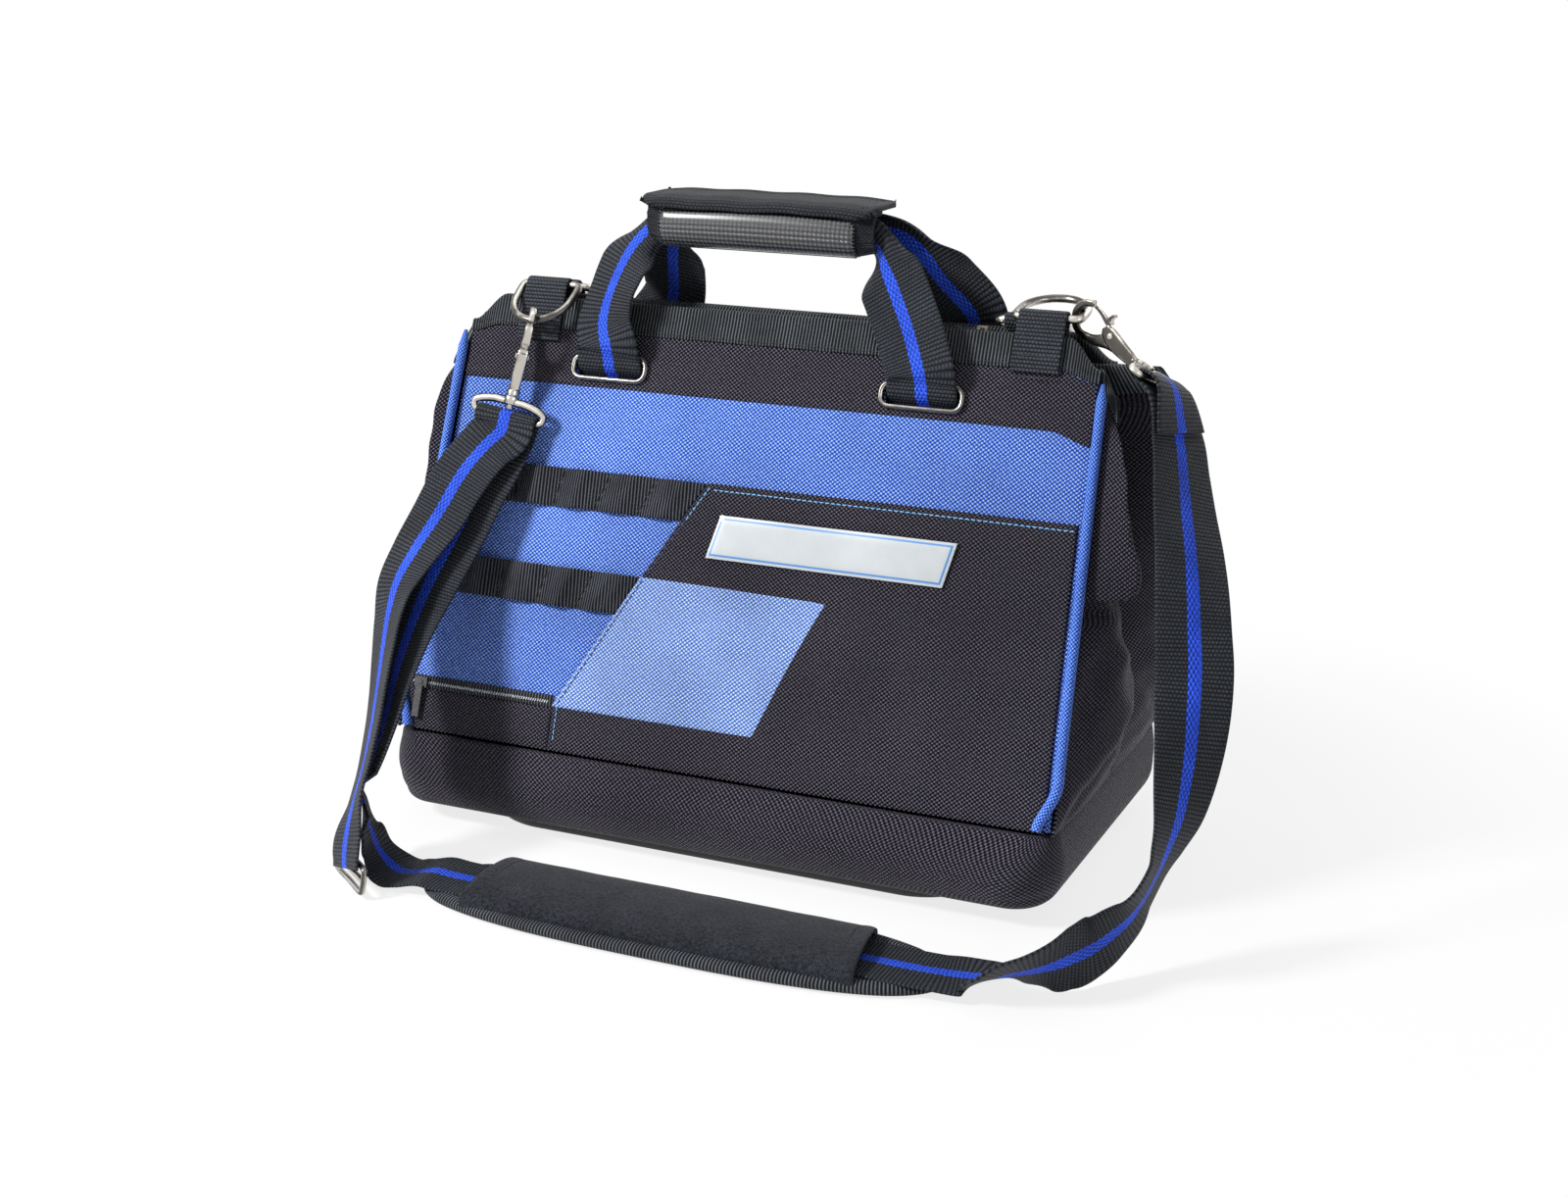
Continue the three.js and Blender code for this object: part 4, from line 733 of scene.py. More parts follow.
def waves(x, s):
    inside = np.cos(np.pi / 2 * np.minimum(1, np.abs(x) / 196)) ** 0.7 * np.sin(np.pi
            * np.clip(s / panel["slope"], 0, 1))
    long = 0.6 * np.sin(x / 31 + s / 47 + 0.5) + 0.45 * np.sin(x / 17 - s / 29) + 0.3 * np.sin(x / 9.5 + s
            / 15 + 2)
    low = 1.6 * np.exp(-(((x + 152) / 16) ** 2) - (((s - 40) / 30) ** 2)) - 1.2 * np.exp(-(((x + 128)
            / 12) ** 2) - (((s - 52) / 34) ** 2))
    return panel["wave"] * (inside * long + low)


def place(side, x, s, lift=0.0):
    across = np.cos(np.pi / 2 * np.minimum(1, np.abs(x) / panel["halfBottom"]))
    out = lift + panel["bulge"] * across * np.sin(np.pi * np.clip(s / panel["slope"], 0, 1)) + waves(x, s)
    x, s, out = np.broadcast_arrays(x, s, out)
    return np.stack([x, side * (panel["seamY"] - s * upY + out * upZ), panel["hingeZ"] + s * upZ + out
                     * upY], -1)


def panelOut(side, like):
    return np.broadcast_to(np.array([0, side * upZ, upY]), like.shape)


def panelHalf(s):
    return lerp(panel["halfBottom"], panel["halfTop"], s / panel["slope"])


def panelTop(x):
    return panel["slope"] - panel["cornerDrop"] * smooth((np.abs(x) - panel["ridgeHalf"])
            / (panel["halfTop"] - panel["ridgeHalf"]))


def bindingEdge(x):
    return panel["bindingLow"] - (panel["slope"] - panelTop(x)) * 0.3


def stopsWith(low, high, count, *marks):
    even = np.linspace(low, high, count)
    even = even[np.all(np.abs(even[:, None] - np.array(marks)[None]) > (high - low) / count * 0.45,
                       axis=1)] if marks else even
    return np.unique(np.concatenate([[low], even, marks, [high]]))


slotEdges = [sign * panel["slotX"] + d for sign in (-1, 1)
             for d in (-panel["slotHalfX"], panel["slotHalfX"])]
slotLow, slotHigh = panel["slotS"] - panel["slotHalfS"], panel["slotS"] + panel["slotHalfS"]


def slotCells(x, s):
    midX = (x[:-1, :-1] + x[1:, 1:]) / 2
    midS = (s[:-1, :-1] + s[1:, 1:]) / 2
    return (np.abs(np.abs(midX) - panel["slotX"]) < panel["slotHalfX"]) & (np.abs(midS
            - panel["slotS"]) < panel["slotHalfS"])


def sidePanel(side):
    half = panelHalf(panel["slotS"])
    u = stopsWith(-1, 1, 120, *[e / half for e in slotEdges])
    v = stopsWith(0, 1, 72, slotLow / panel["slope"], slotHigh / panel["slope"])
    V, U = np.meshgrid(v, u, indexing="ij")
    x, s = U * panelHalf(V * panel["slope"]), lerp(1.6 if side < 0 else 0, panelTop(U * panel["halfTop"]),
                                                   V)
    uv = np.stack([x, s], -1)
    word = words[side]
    piece = shell(word + "PanelCloth", place(side, x, s), place(side, x, s, -panel["thick"]), uv,
                  "blue" if side < 0 else "black", "lining", slotCells(x, s))
    settle(piece, word, "blue_cloth" if side < 0 else "black_cloth", word + "_panel")


# The black band: its lower edge is a soft fold that dips at the right end of the front
def bandLow(side, x):
    dip = 6.5 * smooth((x - 164) / 24) if side < 0 else 0 * x
    return panel["bandLow"] - dip


def topBand(side):
    half = panelHalf(panel["slotS"]) - 1
    u = stopsWith(-1, 1, 130, *[e / half for e in slotEdges])
    low = panel["bandLow"]
    rise = bindingEdge(0) - 0.3 - low
    v = stopsWith(0, 1, 16, 0.02, 0.05, (slotLow - low) / rise, (slotHigh - low) / rise)
    V, U = np.meshgrid(v, u, indexing="ij")
    high = bindingEdge(U * panel["halfTop"]) - 0.3
    s = lerp(bandLow(side, U * half), high, V)
    x = U * (panelHalf(s) - 1)
    fold = 0.5 * bell(s - bandLow(side, x) - 2.5, 3) - 0.9 * np.exp(-((s - bandLow(side, x)) / 0.9))
    word = words[side]
    piece = shell(word + "BandCloth", place(side, x, s, 1.3 + fold), place(side, x, s, 0.3),
                  np.stack([x, s], -1), "black",
                  None, slotCells(x, s))
    settle(piece, word, "black_cloth", word + "_top_band")


# Ribbed tape folded over the top edge: at each x a closed U of points (distance up the slope, lift)
def edgeBinding(side):
    word = words[side]
    x = np.linspace(-panel["halfTop"] - 0.8, panel["halfTop"] + 0.8, 190)
    top, low = panelTop(x), bindingEdge(x)
    wave = 0.5 * np.sin(x / 7.3) + 0.35 * np.sin(x / 3.1 + 1)
    turn = np.linspace(0, np.pi, 11)
    t = panel["thick"]
    mid, r = -t / 2, t / 2 + 1.6
    s = [low + 0.1 * wave, low + 0.5, low + 4, lerp(low, top, 0.6)]
    lift = [0.9 + 0 * x, 1.6 + 0.12 * wave, 1.9 + 0.2 * wave, 1.6 + 0.12 * wave]
    for a in turn:
        s.append(top + 0.2 + 1.6 * np.sin(a))
        lift.append(mid + r * np.cos(a) + 0 * x)
    s += [lerp(low, top, 0.6), low, low, lerp(low, top, 0.6)]
    lift += [-t - 1.5 + 0 * x, -t - 1.5 + 0 * x, -t - 0.3 + 0 * x, -t - 0.3 + 0 * x]
    for a in turn[::-1]:
        s.append(top + 0.2 * np.sin(a))
        lift.append(mid + (t / 2 + 0.3) * np.cos(a) + 0 * x)
    s += [lerp(low, top, 0.6), low]
    lift += [0.3 + 0 * x, 0.3 + 0 * x]
    s, lift = np.stack(s, 1), np.stack(lift, 1)
    points = place(side, np.repeat(x[:, None], s.shape[1], 1), s, lift)
    around = lengths(points[len(x) // 2])
    around = np.append(around, around[-1] + 1.2)
    uv = uvGrid(lengths(points[:, 3]), around)
    piece = gridMesh(word + "EdgeBinding", points, uv, "binding", sharp=50)
    line = place(side, x[3:-3], bindingEdge(x[3:-3]) + 2.2, 2.0)
    sewn = stitches("bindingStitch", line, panelOut(side, line), "blackThread", 3.0, 2.4, 0.25)
    settle(joined(word + "EdgeBinding", piece, sewn), word, "webbing", word + "_binding")


# Piping: a cord in woven tape down both side edges, curled in at its foot
def edgePiping(side, end):
    word, hand = words[side], hands[end]
    s = np.concatenate([[1.5, 5, 10, 16, 24], np.linspace(36, panel["pipingTop"], 12)])
    curl = 9 * smooth(1 - s / 26)
    line = place(side, end * (panelHalf(s) + panel["piping"] - curl), s, 3.1)
    line = curve(line, 150)
    taper = np.minimum(1, 0.35 + lengths(line)[::-1] / 14)
    piece = tube(word + "Piping" + hand.title(), line, panel["piping"] * taper, "blueTape", sides=18)
    settle(piece, word, "blue_cloth", f"{word}_piping_{hand}")


# Stamped eyelet: a rounded rim round the slot, flatter than it is wide
def eyelet(side, x):
    word, hand = words[side], hands[-1 if x < 0 else 1]
    rim = roundedRing(panel["slotHalfX"] + 1.4, 6.4, 5.2, 0, 10)
    line = curve(place(side, x + rim[:, 0], panel["slotS"] + rim[:, 1], 3.0), 120, closed=True)
    piece = tube(f"{word}Eyelet{hand.title()}", line, 1.45, "nickel", closed=True, sides=14)
    settle(piece, word, "nickel", f"{word}_grommet_{hand}")


# Half of the zip: a tape from the binding to the middle of the ridge, and its half of the coil
zipPart = {"half": 166, "top": 51.5 + (254 + 0.3 + 1.2) * 0.93602 - 3.2, "inner": 8.6 - 4.5 * 0.93602,
           "coil": 1.25, "pitch": 1.55}


def zipHalf(side):
    word = words[side]
    x = np.linspace(-zipPart["half"], zipPart["half"], 120)
    y = np.array([zipPart["inner"] - 0.3, 3.4, 2.4, 0.7, 0.5, 0.7, 2.4, 3.4, zipPart["inner"] - 0.3])
    z = zipPart["top"] + np.array([-0.5, -0.5, -0.8, -1.1, -1.3, -1.6, -1.7, -1.4, -1.5])
    X, Y = np.meshgrid(x, y * side, indexing="ij")
    points = np.stack([X, Y, np.broadcast_to(z, X.shape)], -1)
    uv = uvGrid(x, np.arange(len(y) + 1))
    tape = gridMesh(word + "ZipTape", points, uv, "binding")
    at = np.arange(-zipPart["half"] + 2, zipPart["half"] - 2, zipPart["pitch"]) + (0.4 if side > 0 else 0)
    center = np.stack([at, np.full_like(at, side * 1.15), np.full_like(at, zipPart["top"] - 0.4)], -1)
    ahead = np.broadcast_to(unit(np.array([0.25, 1.0, 0.0])), center.shape)
    teeth = spindles("zipCoil", center, ahead, np.broadcast_to([0.0, 0, 1], center.shape), 2.1, 0.62,
                     "coil")
    settle(joined(word + "ZipTape", tape, teeth), word, "webbing", word + "_zip_tape")


# Webbing tab folded round a ring's bar, its end sewn under it
tabPart = {"half": 12.7, "thick": 1.4, "barLift": -0.7, "barRadius": 2.5, "low": 230}


def ringTab(side, x, barS):
    word, hand = words[side], hands[-1 if x < 0 else 1]
    outer = tabPart["barLift"] + tabPart["barRadius"] + 1.0
    mid = tabPart["barRadius"] + 0.85
    low = tabPart["low"] + (5 if side < 0 and x > 0 else 0)
    leg = [(s, outer + o) for s, o in ((low, 0.1), (low + 2, 0.4), (low + 7, 1.0), (246, 1.1), (250, 1.0),
                                       (256, 0.7), (barS, 0.2))]
    fold = [(barS + mid * math.sin(a), tabPart["barLift"] + mid * math.cos(a))
            for a in np.linspace(0.5, 2.9, 7)]
    s, lift = np.array(leg + fold + [(256.6, tabPart["barLift"] - mid)]).T
    line = curve(place(side, x + 0 * s, s, lift), 46)
    across = np.tile([1.0, 0, 0], (len(line), 1))
    piece = webbing(f"{word}Tab{hand.title()}", line, across, tabPart["half"], tabPart["thick"], "webbing")
    box = []
    for a, b in (((-10.4, 232.4), (10.4, 232.4)), ((-10.4, 243.5), (10.4, 243.5))):
        row = np.linspace(a, b, 14)
        box.append(place(side, x + row[:, 0], row[:, 1], outer + 1.0 + (0.9 if row[0, 1] > 240 else 0)))
    sewn = [stitches("tabStitch", row, panelOut(side, row), "blackThread", 2.4, 2.0, 0.24) for row in box]
    settle(joined(f"{word}Tab{hand.title()}", piece, *sewn), word, "webbing", f"{word}_tab_{hand}")


# Pocket on each panel's inner face
def innerPocket(side):
    word = words[side]
    v, u = np.meshgrid(np.linspace(0, 1, 14), np.linspace(-1, 1, 50), indexing="ij")
    x, s = u * 150, lerp(6, 110, v)
    sag = 3.0 * v * (np.cos(u * np.pi * 1.5) ** 2) * np.cos(u * np.pi / 2)
    piece = shell(word + "InnerPocketCloth", place(side, x, s, -4.4 - sag), place(side, x, s, -3.4 - sag),
                  np.stack([x, s], -1), "lining")
    settle(piece, word, "lining", word + "_inner_pocket")


for side in (-1, 1):
    sidePanel(side)
    topBand(side)
    edgeBinding(side)
    zipHalf(side)
    innerPocket(side)
    for end in (-1, 1):
        edgePiping(side, end)
        eyelet(side, end * panel["slotX"])
# Where the tabs are: panel side, place along it, and the ring's bar up the slope
tabs = ((-1, -142, 263), (-1, 153, 265), (1, -142, 260.5), (1, 142, 260.5))
for spot in tabs:
    ringTab(*spot)
print("panels made")


# How far sewn cloth stands off at shares u and v of its width and height
def puffed(size, u, v):
    return size * np.sin(np.pi * np.clip(u, 0, 1)) ** 0.6 * np.sin(np.pi * np.clip(v, 0, 1) ** 0.8) ** 0.8


# A flat piece sewn on the front panel: low and high edges, left and right as functions of s. Its rim
# rolls down over half a millimetre, puff lets its middle stand off, and each seam sinks a line.
def sewnCloth(name, low, high, left, right, lift, thick, rows, columns, material, puff=0.0, seams=()):
    margin = lambda n, size: np.unique(np.concatenate([[0, 0.35 / size, 1.1 / size],
                                                       np.linspace(2.4 / size, 1 - 2.4 / size, n),
                                                       [1 - 1.1 / size, 1 - 0.35 / size, 1]]))
    v = margin(rows, high - low)
    u = margin(columns, float(np.max(right(np.array([high])) - left(np.array([high])))))
    V, U = np.meshgrid(v, u, indexing="ij")
    s = lerp(low, high, V)
    x = lerp(left(s), right(s), U)
    wide = right(s) - left(s)
    edge = np.minimum(np.minimum(V, 1 - V) * (high - low), np.minimum(U, 1 - U) * wide)
    rim = -thick * 0.75 * np.exp(-edge / 0.5)
    stand = puffed(puff, U, V)
    groove = sum((depth * bell(where(x, s), 0.9) for where, depth in seams), 0 * x)
    outer = place(-1, x, s, lift + thick + rim + stand - groove)
    inner = place(-1, x, s, lift + stand * 0.97)
    return shell(name, outer, inner, np.stack([x, s], -1), material)


pocket = {"top": 159, "low": 0.4, "topX": -22, "slantLow": 26, "slantX": -98,
          "patchLow": 25, "patchHigh": 103, "patchRight": (26, 60), "label": (-15, 121, 118, 142)}


def slantX(s):
    return lerp(pocket["slantX"], pocket["topX"], np.maximum(0, (s - pocket["slantLow"])
            / (pocket["top"] - pocket["slantLow"])))


def frontPocket():
    piece = sewnCloth("frontPocketCloth", pocket["low"], pocket["top"], slantX, lambda s: panelHalf(s)
                      - 2.6, 0.3, 1.4, 60, 90,
                      "black", 1.4, ((lambda x, s: s - 155.4, 0.35),
                                     (lambda x, s: (x - slantX(s) - 3.2) * 0.86, 0.3)))
    x = np.linspace(slantX(159.0) + 4, panelHalf(156) - 5, 120)
    puff = lambda x, s: puffed(1.4, (x - slantX(s)) / (panelHalf(s) - 2.6 - slantX(s)), (s - 4) / 155)
    top = place(-1, x, 0 * x + 155.4, 1.75 + puff(x, 155.4))
    s = np.linspace(6, 25, 12)
    low = place(-1, slantX(s) + 3.2, s, 1.7 + puff(slantX(s) + 3.2, s))
    slant = [place(-1, slantX(s) + 3.2, s, 1.75 + puff(slantX(s) + 3.2, s))
             for s in (np.linspace(104.5, 136, 30), np.linspace(137, 157, 20))]
    sewn = [stitches("pocketStitch", row, panelOut(-1, row), m, 3.3, 2.5, 0.36)
            for row, m in ((top, "blueThread"), (low, "blueThread"), (slant[0], "navyThread"),
                           (slant[1], "blueThread"))]
    settle(joined("frontPocketCloth", piece, *sewn), "front", "black_cloth", "front_pocket")


def patch():
    low, high = pocket["patchLow"], pocket["patchHigh"]
    right = lambda s: lerp(*pocket["patchRight"], (s - low) / (high - low))
    piece = sewnCloth("patchCloth", low, high, lambda s: slantX(s) + 0.4, right, 2.0, 0.9, 36, 44,
                      "paleBlue", 1.2,
                      ((lambda x, s: (x - slantX(s) - 3.0) * 0.86, 0.3),))
    s = np.linspace(27, 101.5, 60)
    x = slantX(s) + 3.0
    line = place(-1, x, s, 2.9 + puffed(1.2, (x - slantX(s)) / (right(s) - slantX(s)),
                                        (s - low) / (high - low)))
    sewn = stitches("patchStitch", line, panelOut(-1, line), "navyThread", 3.3, 2.5, 0.34)
    settle(joined("patchCloth", piece, sewn), "front", "blue_cloth", "pocket_patch")


# Label plate, left plain inside its blue rim
def labelPlate():
    x0, x1, s0, s1 = pocket["label"]
    v, u = np.meshgrid(np.linspace(0, 1, 13), np.linspace(0, 1, 70), indexing="ij")
    s = lerp(s0, s1, v)
    x = lerp(x0, x1, u) + (s - s0) * 5 / 24
    edge = np.minimum(np.minimum(v, 1 - v) * (s1 - s0), np.minimum(u, 1 - u) * (x1 - x0))
    crown = 0.5 * smooth(edge / 3.2)
    outer = place(-1, x, s, 3.3 + 0.7 + crown)
    piece = shell("labelFace", outer, place(-1, x, s, 3.0), np.stack([u * (x1 - x0), v * (s1 - s0)], -1),
                  "label")
    settle(piece, "front", "label", "label_plate")


frontPocket()
patch()
labelPlate()


# Rows of webbing sewn down at intervals, so that each interval stands off as a loop
molle = {"start": -170, "loop": 26, "height": 22, "stand": 3.3,
         "rows": (("webbingRowUpper", 136.5, "webbing_row_upper"),
                  ("webbingRowLower", 81, "webbing_row_lower"))}


def loopRow(name, low, node):
    loops = int(round((float(slantX(low)) - 1 - molle["start"]) / molle["loop"]))
    u = np.unique(np.concatenate([np.linspace(0, 1, loops * 22 + 1), np.arange(1, loops) / loops + 0.004,
                                  np.arange(1, loops) / loops - 0.004]))
    v = np.array([0, 0.015, 0.05, 0.12, 0.3, 0.5, 0.7, 0.88, 0.95, 0.985, 1])
    V, U = np.meshgrid(v, u, indexing="ij")
    s = low + molle["height"] * V
    x = lerp(molle["start"], slantX(s) - 0.6, U)
    phase = (U * loops) % 1
    near = np.minimum(phase, 1 - phase)
    stand = molle["stand"] * (np.sin(np.pi * phase) ** 2) * (1 - 0.15 * np.sin(U * 37)) + 0.25 * np.sin(U
            * 90) * np.sin(np.pi * phase)
    groove = -0.5 * np.exp(-((near * 26 / 0.9) ** 2))
    rim = -0.5 * np.exp(-np.minimum(V, 1 - V) * 22 / 0.4)
    stand = np.where((U < 0.5 / loops / 13) | (U > 1 - 0.5 / loops / 13), 0, stand)
    piece = shell(name, place(-1, x, s, 1.6 + stand + groove + rim), place(-1, x, s, 0.35 + stand * 0.97),
                  np.stack([x, s - low], -1), "ladder")
    sewn = []
    for k in range(1, loops):
        for shift in (-0.9, 0.9):
            row = np.linspace(low + 1.2, low + molle["height"] - 1.2, 12)
            at = lerp(molle["start"], slantX(row) - 0.6, k / loops) + shift
            line = place(-1, at, row, 1.55)
            sewn.append(stitches("rowStitch", line, panelOut(-1, line), "blackThread", 2.3, 1.9, 0.26))
    settle(joined(name, piece, *sewn), "front", "webbing", node)


for row in molle["rows"]:
    loopRow(*row)


# Zipped pocket at the lower left: cloth below, the zip's tape and coil along its top
def zipPocket():
    right, left = float(slantX(20)) - 0.4, -float(panelHalf(27)) + 2
    edges = (lambda s: left + 0 * s, lambda s: right + 0 * s)
    piece = sewnCloth("zipPocketCloth", 0.4, 24, *edges, 0.3, 1.0, 12, 50, "black", 1.2)
    settle(piece, "front", "black_cloth", "zip_pocket")
    tape = sewnCloth("pocketZipTape", 24.2, 31.2, *edges, 0.3, 0.9, 6, 50, "binding")
    x = np.arange(left + 2, right - 2, 1.5)
    center = place(-1, x, 27.2 + 0 * x, 1.5)
    ahead = np.broadcast_to(unit(np.array([0.45, 0.34, 0.85])), center.shape)
    teeth = spindles("pocketCoil", center, ahead, panelOut(-1, center), 1.9, 0.42, "paleCoil")
    settle(joined("pocketZipTape", tape, teeth), "front", "webbing", "pocket_zip")


zipPocket()
print("pocket, patch, label and webbing rows made")


# End gussets. Each half hangs from a panel's side edge, comes out to a fold and goes in to the valley at
# the middle. Rows of its table, from the tub up: height, then how far out the fold stands and its place
# across (0 at the panel, 1 at the valley), how far out the valley lies, how the facets belly, and how far
# from the middle the fold lies. dip is how much the front halves' top edge drops at the fold.
gusset = {"thick": 1.5, "blur": 2.9, "dip": 12,
          "frontRight": ((51, 199.5, 0.5, 199.0, 0.0, 53), (62, 205, 0.5, 201, 1.5, 50),
                         (80, 213, 0.47, 203, 2.5, 48),
                         (105, 218, 0.42, 202, 3.0, 46), (128, 217, 0.36, 199, 2.5, 46),
                         (146, 211, 0.34, 196, 1.0, 47),
                         (158, 214, 0.36, 192, 0.5, 48), (168, 225, 0.40, 188, 0.0, 50),
                         (176, 226, 0.42, 184, -0.5, 51),
                         (190, 221, 0.42, 181, -0.5, 48), (205, 216.5, 0.42, 179, -0.3, 44.5),
                         (230, 209.5, 0.42, 176, 0.0, 35.5),
                         (253, 202, 0.42, 174, 0.0, 26), (273, 196, 0.42, 173, 0.0, 15),
                         (285, 190, 0.4, 173, 0.0, 10)),
          "frontLeft": ((51, 199.5, 0.5, 199.0, 0.0, 55), (62, 202, 0.5, 199, 0.5, 56),
                        (80, 204, 0.45, 199, 1.0, 56),
                        (105, 205, 0.42, 198, 1.0, 56), (130, 205, 0.42, 195, 1.0, 54),
                        (180, 204.5, 0.42, 186, 0.5, 50),
                        (205, 205.5, 0.42, 181, 0.3, 44), (230, 204.5, 0.42, 177, 0.0, 34),
                        (253, 199.5, 0.42, 175, 0.0, 25),
                        (266, 197, 0.42, 174, 0.0, 17), (273, 196, 0.42, 173, 0.0, 14),
                        (285, 190, 0.4, 173, 0.0, 10)),
          "backRight": ((51, 199.5, 0.5, 199.0, 0.0, 53), (62, 206, 0.5, 201, 1.5, 50),
                        (80, 213, 0.47, 203, 2.5, 46),
                        (110, 219, 0.45, 202, 2.5, 40), (140, 222, 0.42, 197, 1.0, 34),
                        (170, 227, 0.42, 192, 0.0, 27),
                        (200, 232, 0.42, 186, -0.5, 21), (218, 234.5, 0.44, 184, -0.5, 20),
                        (241, 233.5, 0.5, 180, 0.0, 20),
                        (255, 228, 0.52, 178, 0.5, 19), (268, 219, 0.5, 176, 0.8, 13),
                        (279, 206, 0.45, 174, 0.5, 9),
                        (285, 190, 0.4, 173, 0.0, 6)),
          "backLeft": ((51, 199.5, 0.5, 199.0, 0.0, 53), (62, 204, 0.5, 201, 1.5, 52),
                       (80, 208, 0.47, 203, 2.0, 48),
                       (110, 212, 0.45, 202, 2.0, 44), (140, 214, 0.42, 197, 1.0, 40),
                       (170, 216, 0.42, 192, 0.0, 34),
                       (200, 218, 0.42, 186, -0.5, 28), (218, 219, 0.44, 184, -0.5, 25),
                       (241, 217, 0.5, 180, 0.0, 21),
                       (255, 212, 0.52, 178, 0.5, 16), (268, 202, 0.5, 176, 0.8, 12),
                       (279, 188, 0.45, 174, 0.5, 9),
                       (285, 183, 0.4, 173, 0.0, 6))}


def blurred(a, sigma):
    reach = int(sigma * 3) + 1
    k = np.exp(-0.5 * (np.arange(-reach, reach + 1) / sigma) ** 2)
    k /= k.sum()
    for axis in (0, 1):
        lead = [(reach, reach) if d == axis else (0, 0) for d in (0, 1)]
        padded = np.pad(a, lead, "edge")
        a = sum(k[n] * np.take(padded, np.arange(n, n + a.shape[axis]), axis) for n in range(len(k)))
    return a


def gussetGrid(side, end):
    table = np.array(gusset[words[side] + hands[end].title()], float)
    rows, columns = 120, 64
    v = np.linspace(0, 1, rows)[:, None]
    u = np.linspace(0, 1, columns)[None]
    s = v * (panel["slope"] - panel["cornerDrop"])
    edge = place(side, end * (panelHalf(s) + 2.6), s, -0.6)
    ex, ey, ez = edge[..., 0] * end, edge[..., 1] * side, edge[..., 2]
    top = panel["hingeZ"] + (panel["slope"] - 16) * upZ
    ey = lerp(ey, 8, smooth((v - 0.93) / 0.07))
    ez = lerp(ez, top, smooth((v - 0.93) / 0.07))
    ex = lerp(ex, 186, smooth((v - 0.93) / 0.07))
    z = ez
    fold, at, valley, belly, foldY = (np.interp(z, table[:, 0], table[:, c]) for c in (1, 2, 3, 4, 5))
    valley = lerp(valley, 199, smooth((66 - z) / 14))
    rise = np.clip(u / at, 0, 1)
    fall = np.clip((u - at) / (1 - at), 0, 1)
    x = np.where(u < at, lerp(ex, fold, rise ** 0.92) + belly * np.sin(np.pi * rise),
                 lerp(fold, valley, fall ** 1.15) + belly * np.sin(np.pi * fall))
    y = np.where(u < at, lerp(ey, foldY, rise), lerp(foldY, 0.45, fall ** 0.94))
    if side < 0:
        z = ez - gusset["dip"] * smooth(np.where(u < at, rise, 1 - fall)) * smooth((v - 0.8) / 0.2)
    plain, plainY = x, y
    x, y = blurred(x, gusset["blur"]), blurred(y, gusset["blur"])
    hold = smooth(u / 0.07) * smooth((1 - u) / 0.03) * smooth(v / 0.03) * smooth((1 - v) / 0.02)
    x, y = lerp(plain, x, hold), lerp(plainY, y, hold)
    # creases: a deep shelf under the fold's tip, and long soft folds that run down to the tub
    crease = 0 * x
    if side < 0 and end > 0:
        lie = z - (160 + (y - 60) * -0.28)
        shelf = np.exp(-((np.maximum(lie, 0) / 2.2) ** 2) - ((np.minimum(lie, 0) / 8) ** 2))
        crease -= 11 * shelf * smooth((78 - y) / 14) * smooth((y - 10) / 18)
        crease += 2.6 * bell(z - 139 - (y - 60) * 0.25, 6) * smooth((84 - y) / 20) * smooth((y - 14) / 20)
        crease -= 3.2 * bell(y - 62 + (z - 120) * 0.5, 6.5) * smooth((z - 88) / 22) * smooth((152 - z) / 16)
    crease += 1.9 * bell(z - 92 + (y - 50) * 0.72, 9) * smooth((y - 8) / 18)
    crease -= 2.3 * bell(z - 76 + (y - 50) * 0.75, 6) * smooth((y - 8) / 18)
    above = smooth((z - 56) / 14)
    crease += 0.5 * np.sin(z / 6.5 + y / 9) * above + 0.35 * np.sin(z / 3.9 - y / 5.3 + 1) * above
    x = x + crease * hold * smooth((panel["slope"] * 1.05 - z) / 40)
    x, y, z = np.broadcast_arrays(x, y, z)
    return np.stack([x * end, y * side, z], -1)


def normalsOf(points):
    return unit(np.cross(np.gradient(points, axis=0), np.gradient(points, axis=1)))


def gussetHalf(side, end):
    word, hand = words[side], hands[end]
    outer = gussetGrid(side, end)
    n = normalsOf(outer)
    n *= np.sign(n[60, 20, 0]) * end
    inner = outer - n * gusset["thick"]
    long = np.concatenate([np.zeros((outer.shape[0], 1)),
                           np.cumsum(np.linalg.norm(np.diff(outer, axis=1), axis=-1), axis=1)], 1)
    uv = np.stack([long, outer[..., 2]], -1)
    piece = shell(f"gusset{hand.title()}{word.title()}", outer, inner, uv, "black", "lining", sharp=None)
    # ribbed tape folded over the top edge, from the panel's corner into the valley
    rim, down = outer[-1], outer[-10]
    drop = unit(down - rim)
    push = n[-4]
    section = [(15, 1.5), (12, 1.9), (6, 1.9), (1.5, 2.0), (-0.6, 1.5), (-1.7, 0.3), (-1.8, -1.2),
               (-0.8, -2.6), (2, -3.4), (8, -3.4), (14, -3.3),
               (14, -1.6), (8, -1.7), (1, -1.7), (0, -0.8), (0, 0.2), (1, 0.3), (8, 0.3), (14.6, 0.4)]
    points = np.stack([rim + drop * a + push * b for a, b in section], 1)
    around = lengths(np.array(section, float))
    around = np.append(around, around[-1] + 1)
    tape = gridMesh("gussetTape", points, uvGrid(lengths(rim), around), "binding", sharp=50)
    piece = joined(f"gusset{hand.title()}{word.title()}", piece, tape)
    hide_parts(f"gusset_{hand}_{word}")
    a, b = Vector((0, 0, 0.28)), Vector((0, side * 0.060, 0.054))
    across = Vector((0, (b - a).z, -(b - a).y)).normalized()
    if across.y * side < 0:
        across = -across
    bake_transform(piece)


for side in (-1, 1):
    for end in (-1, 1):
        gussetHalf(side, end)
print("gussets made")


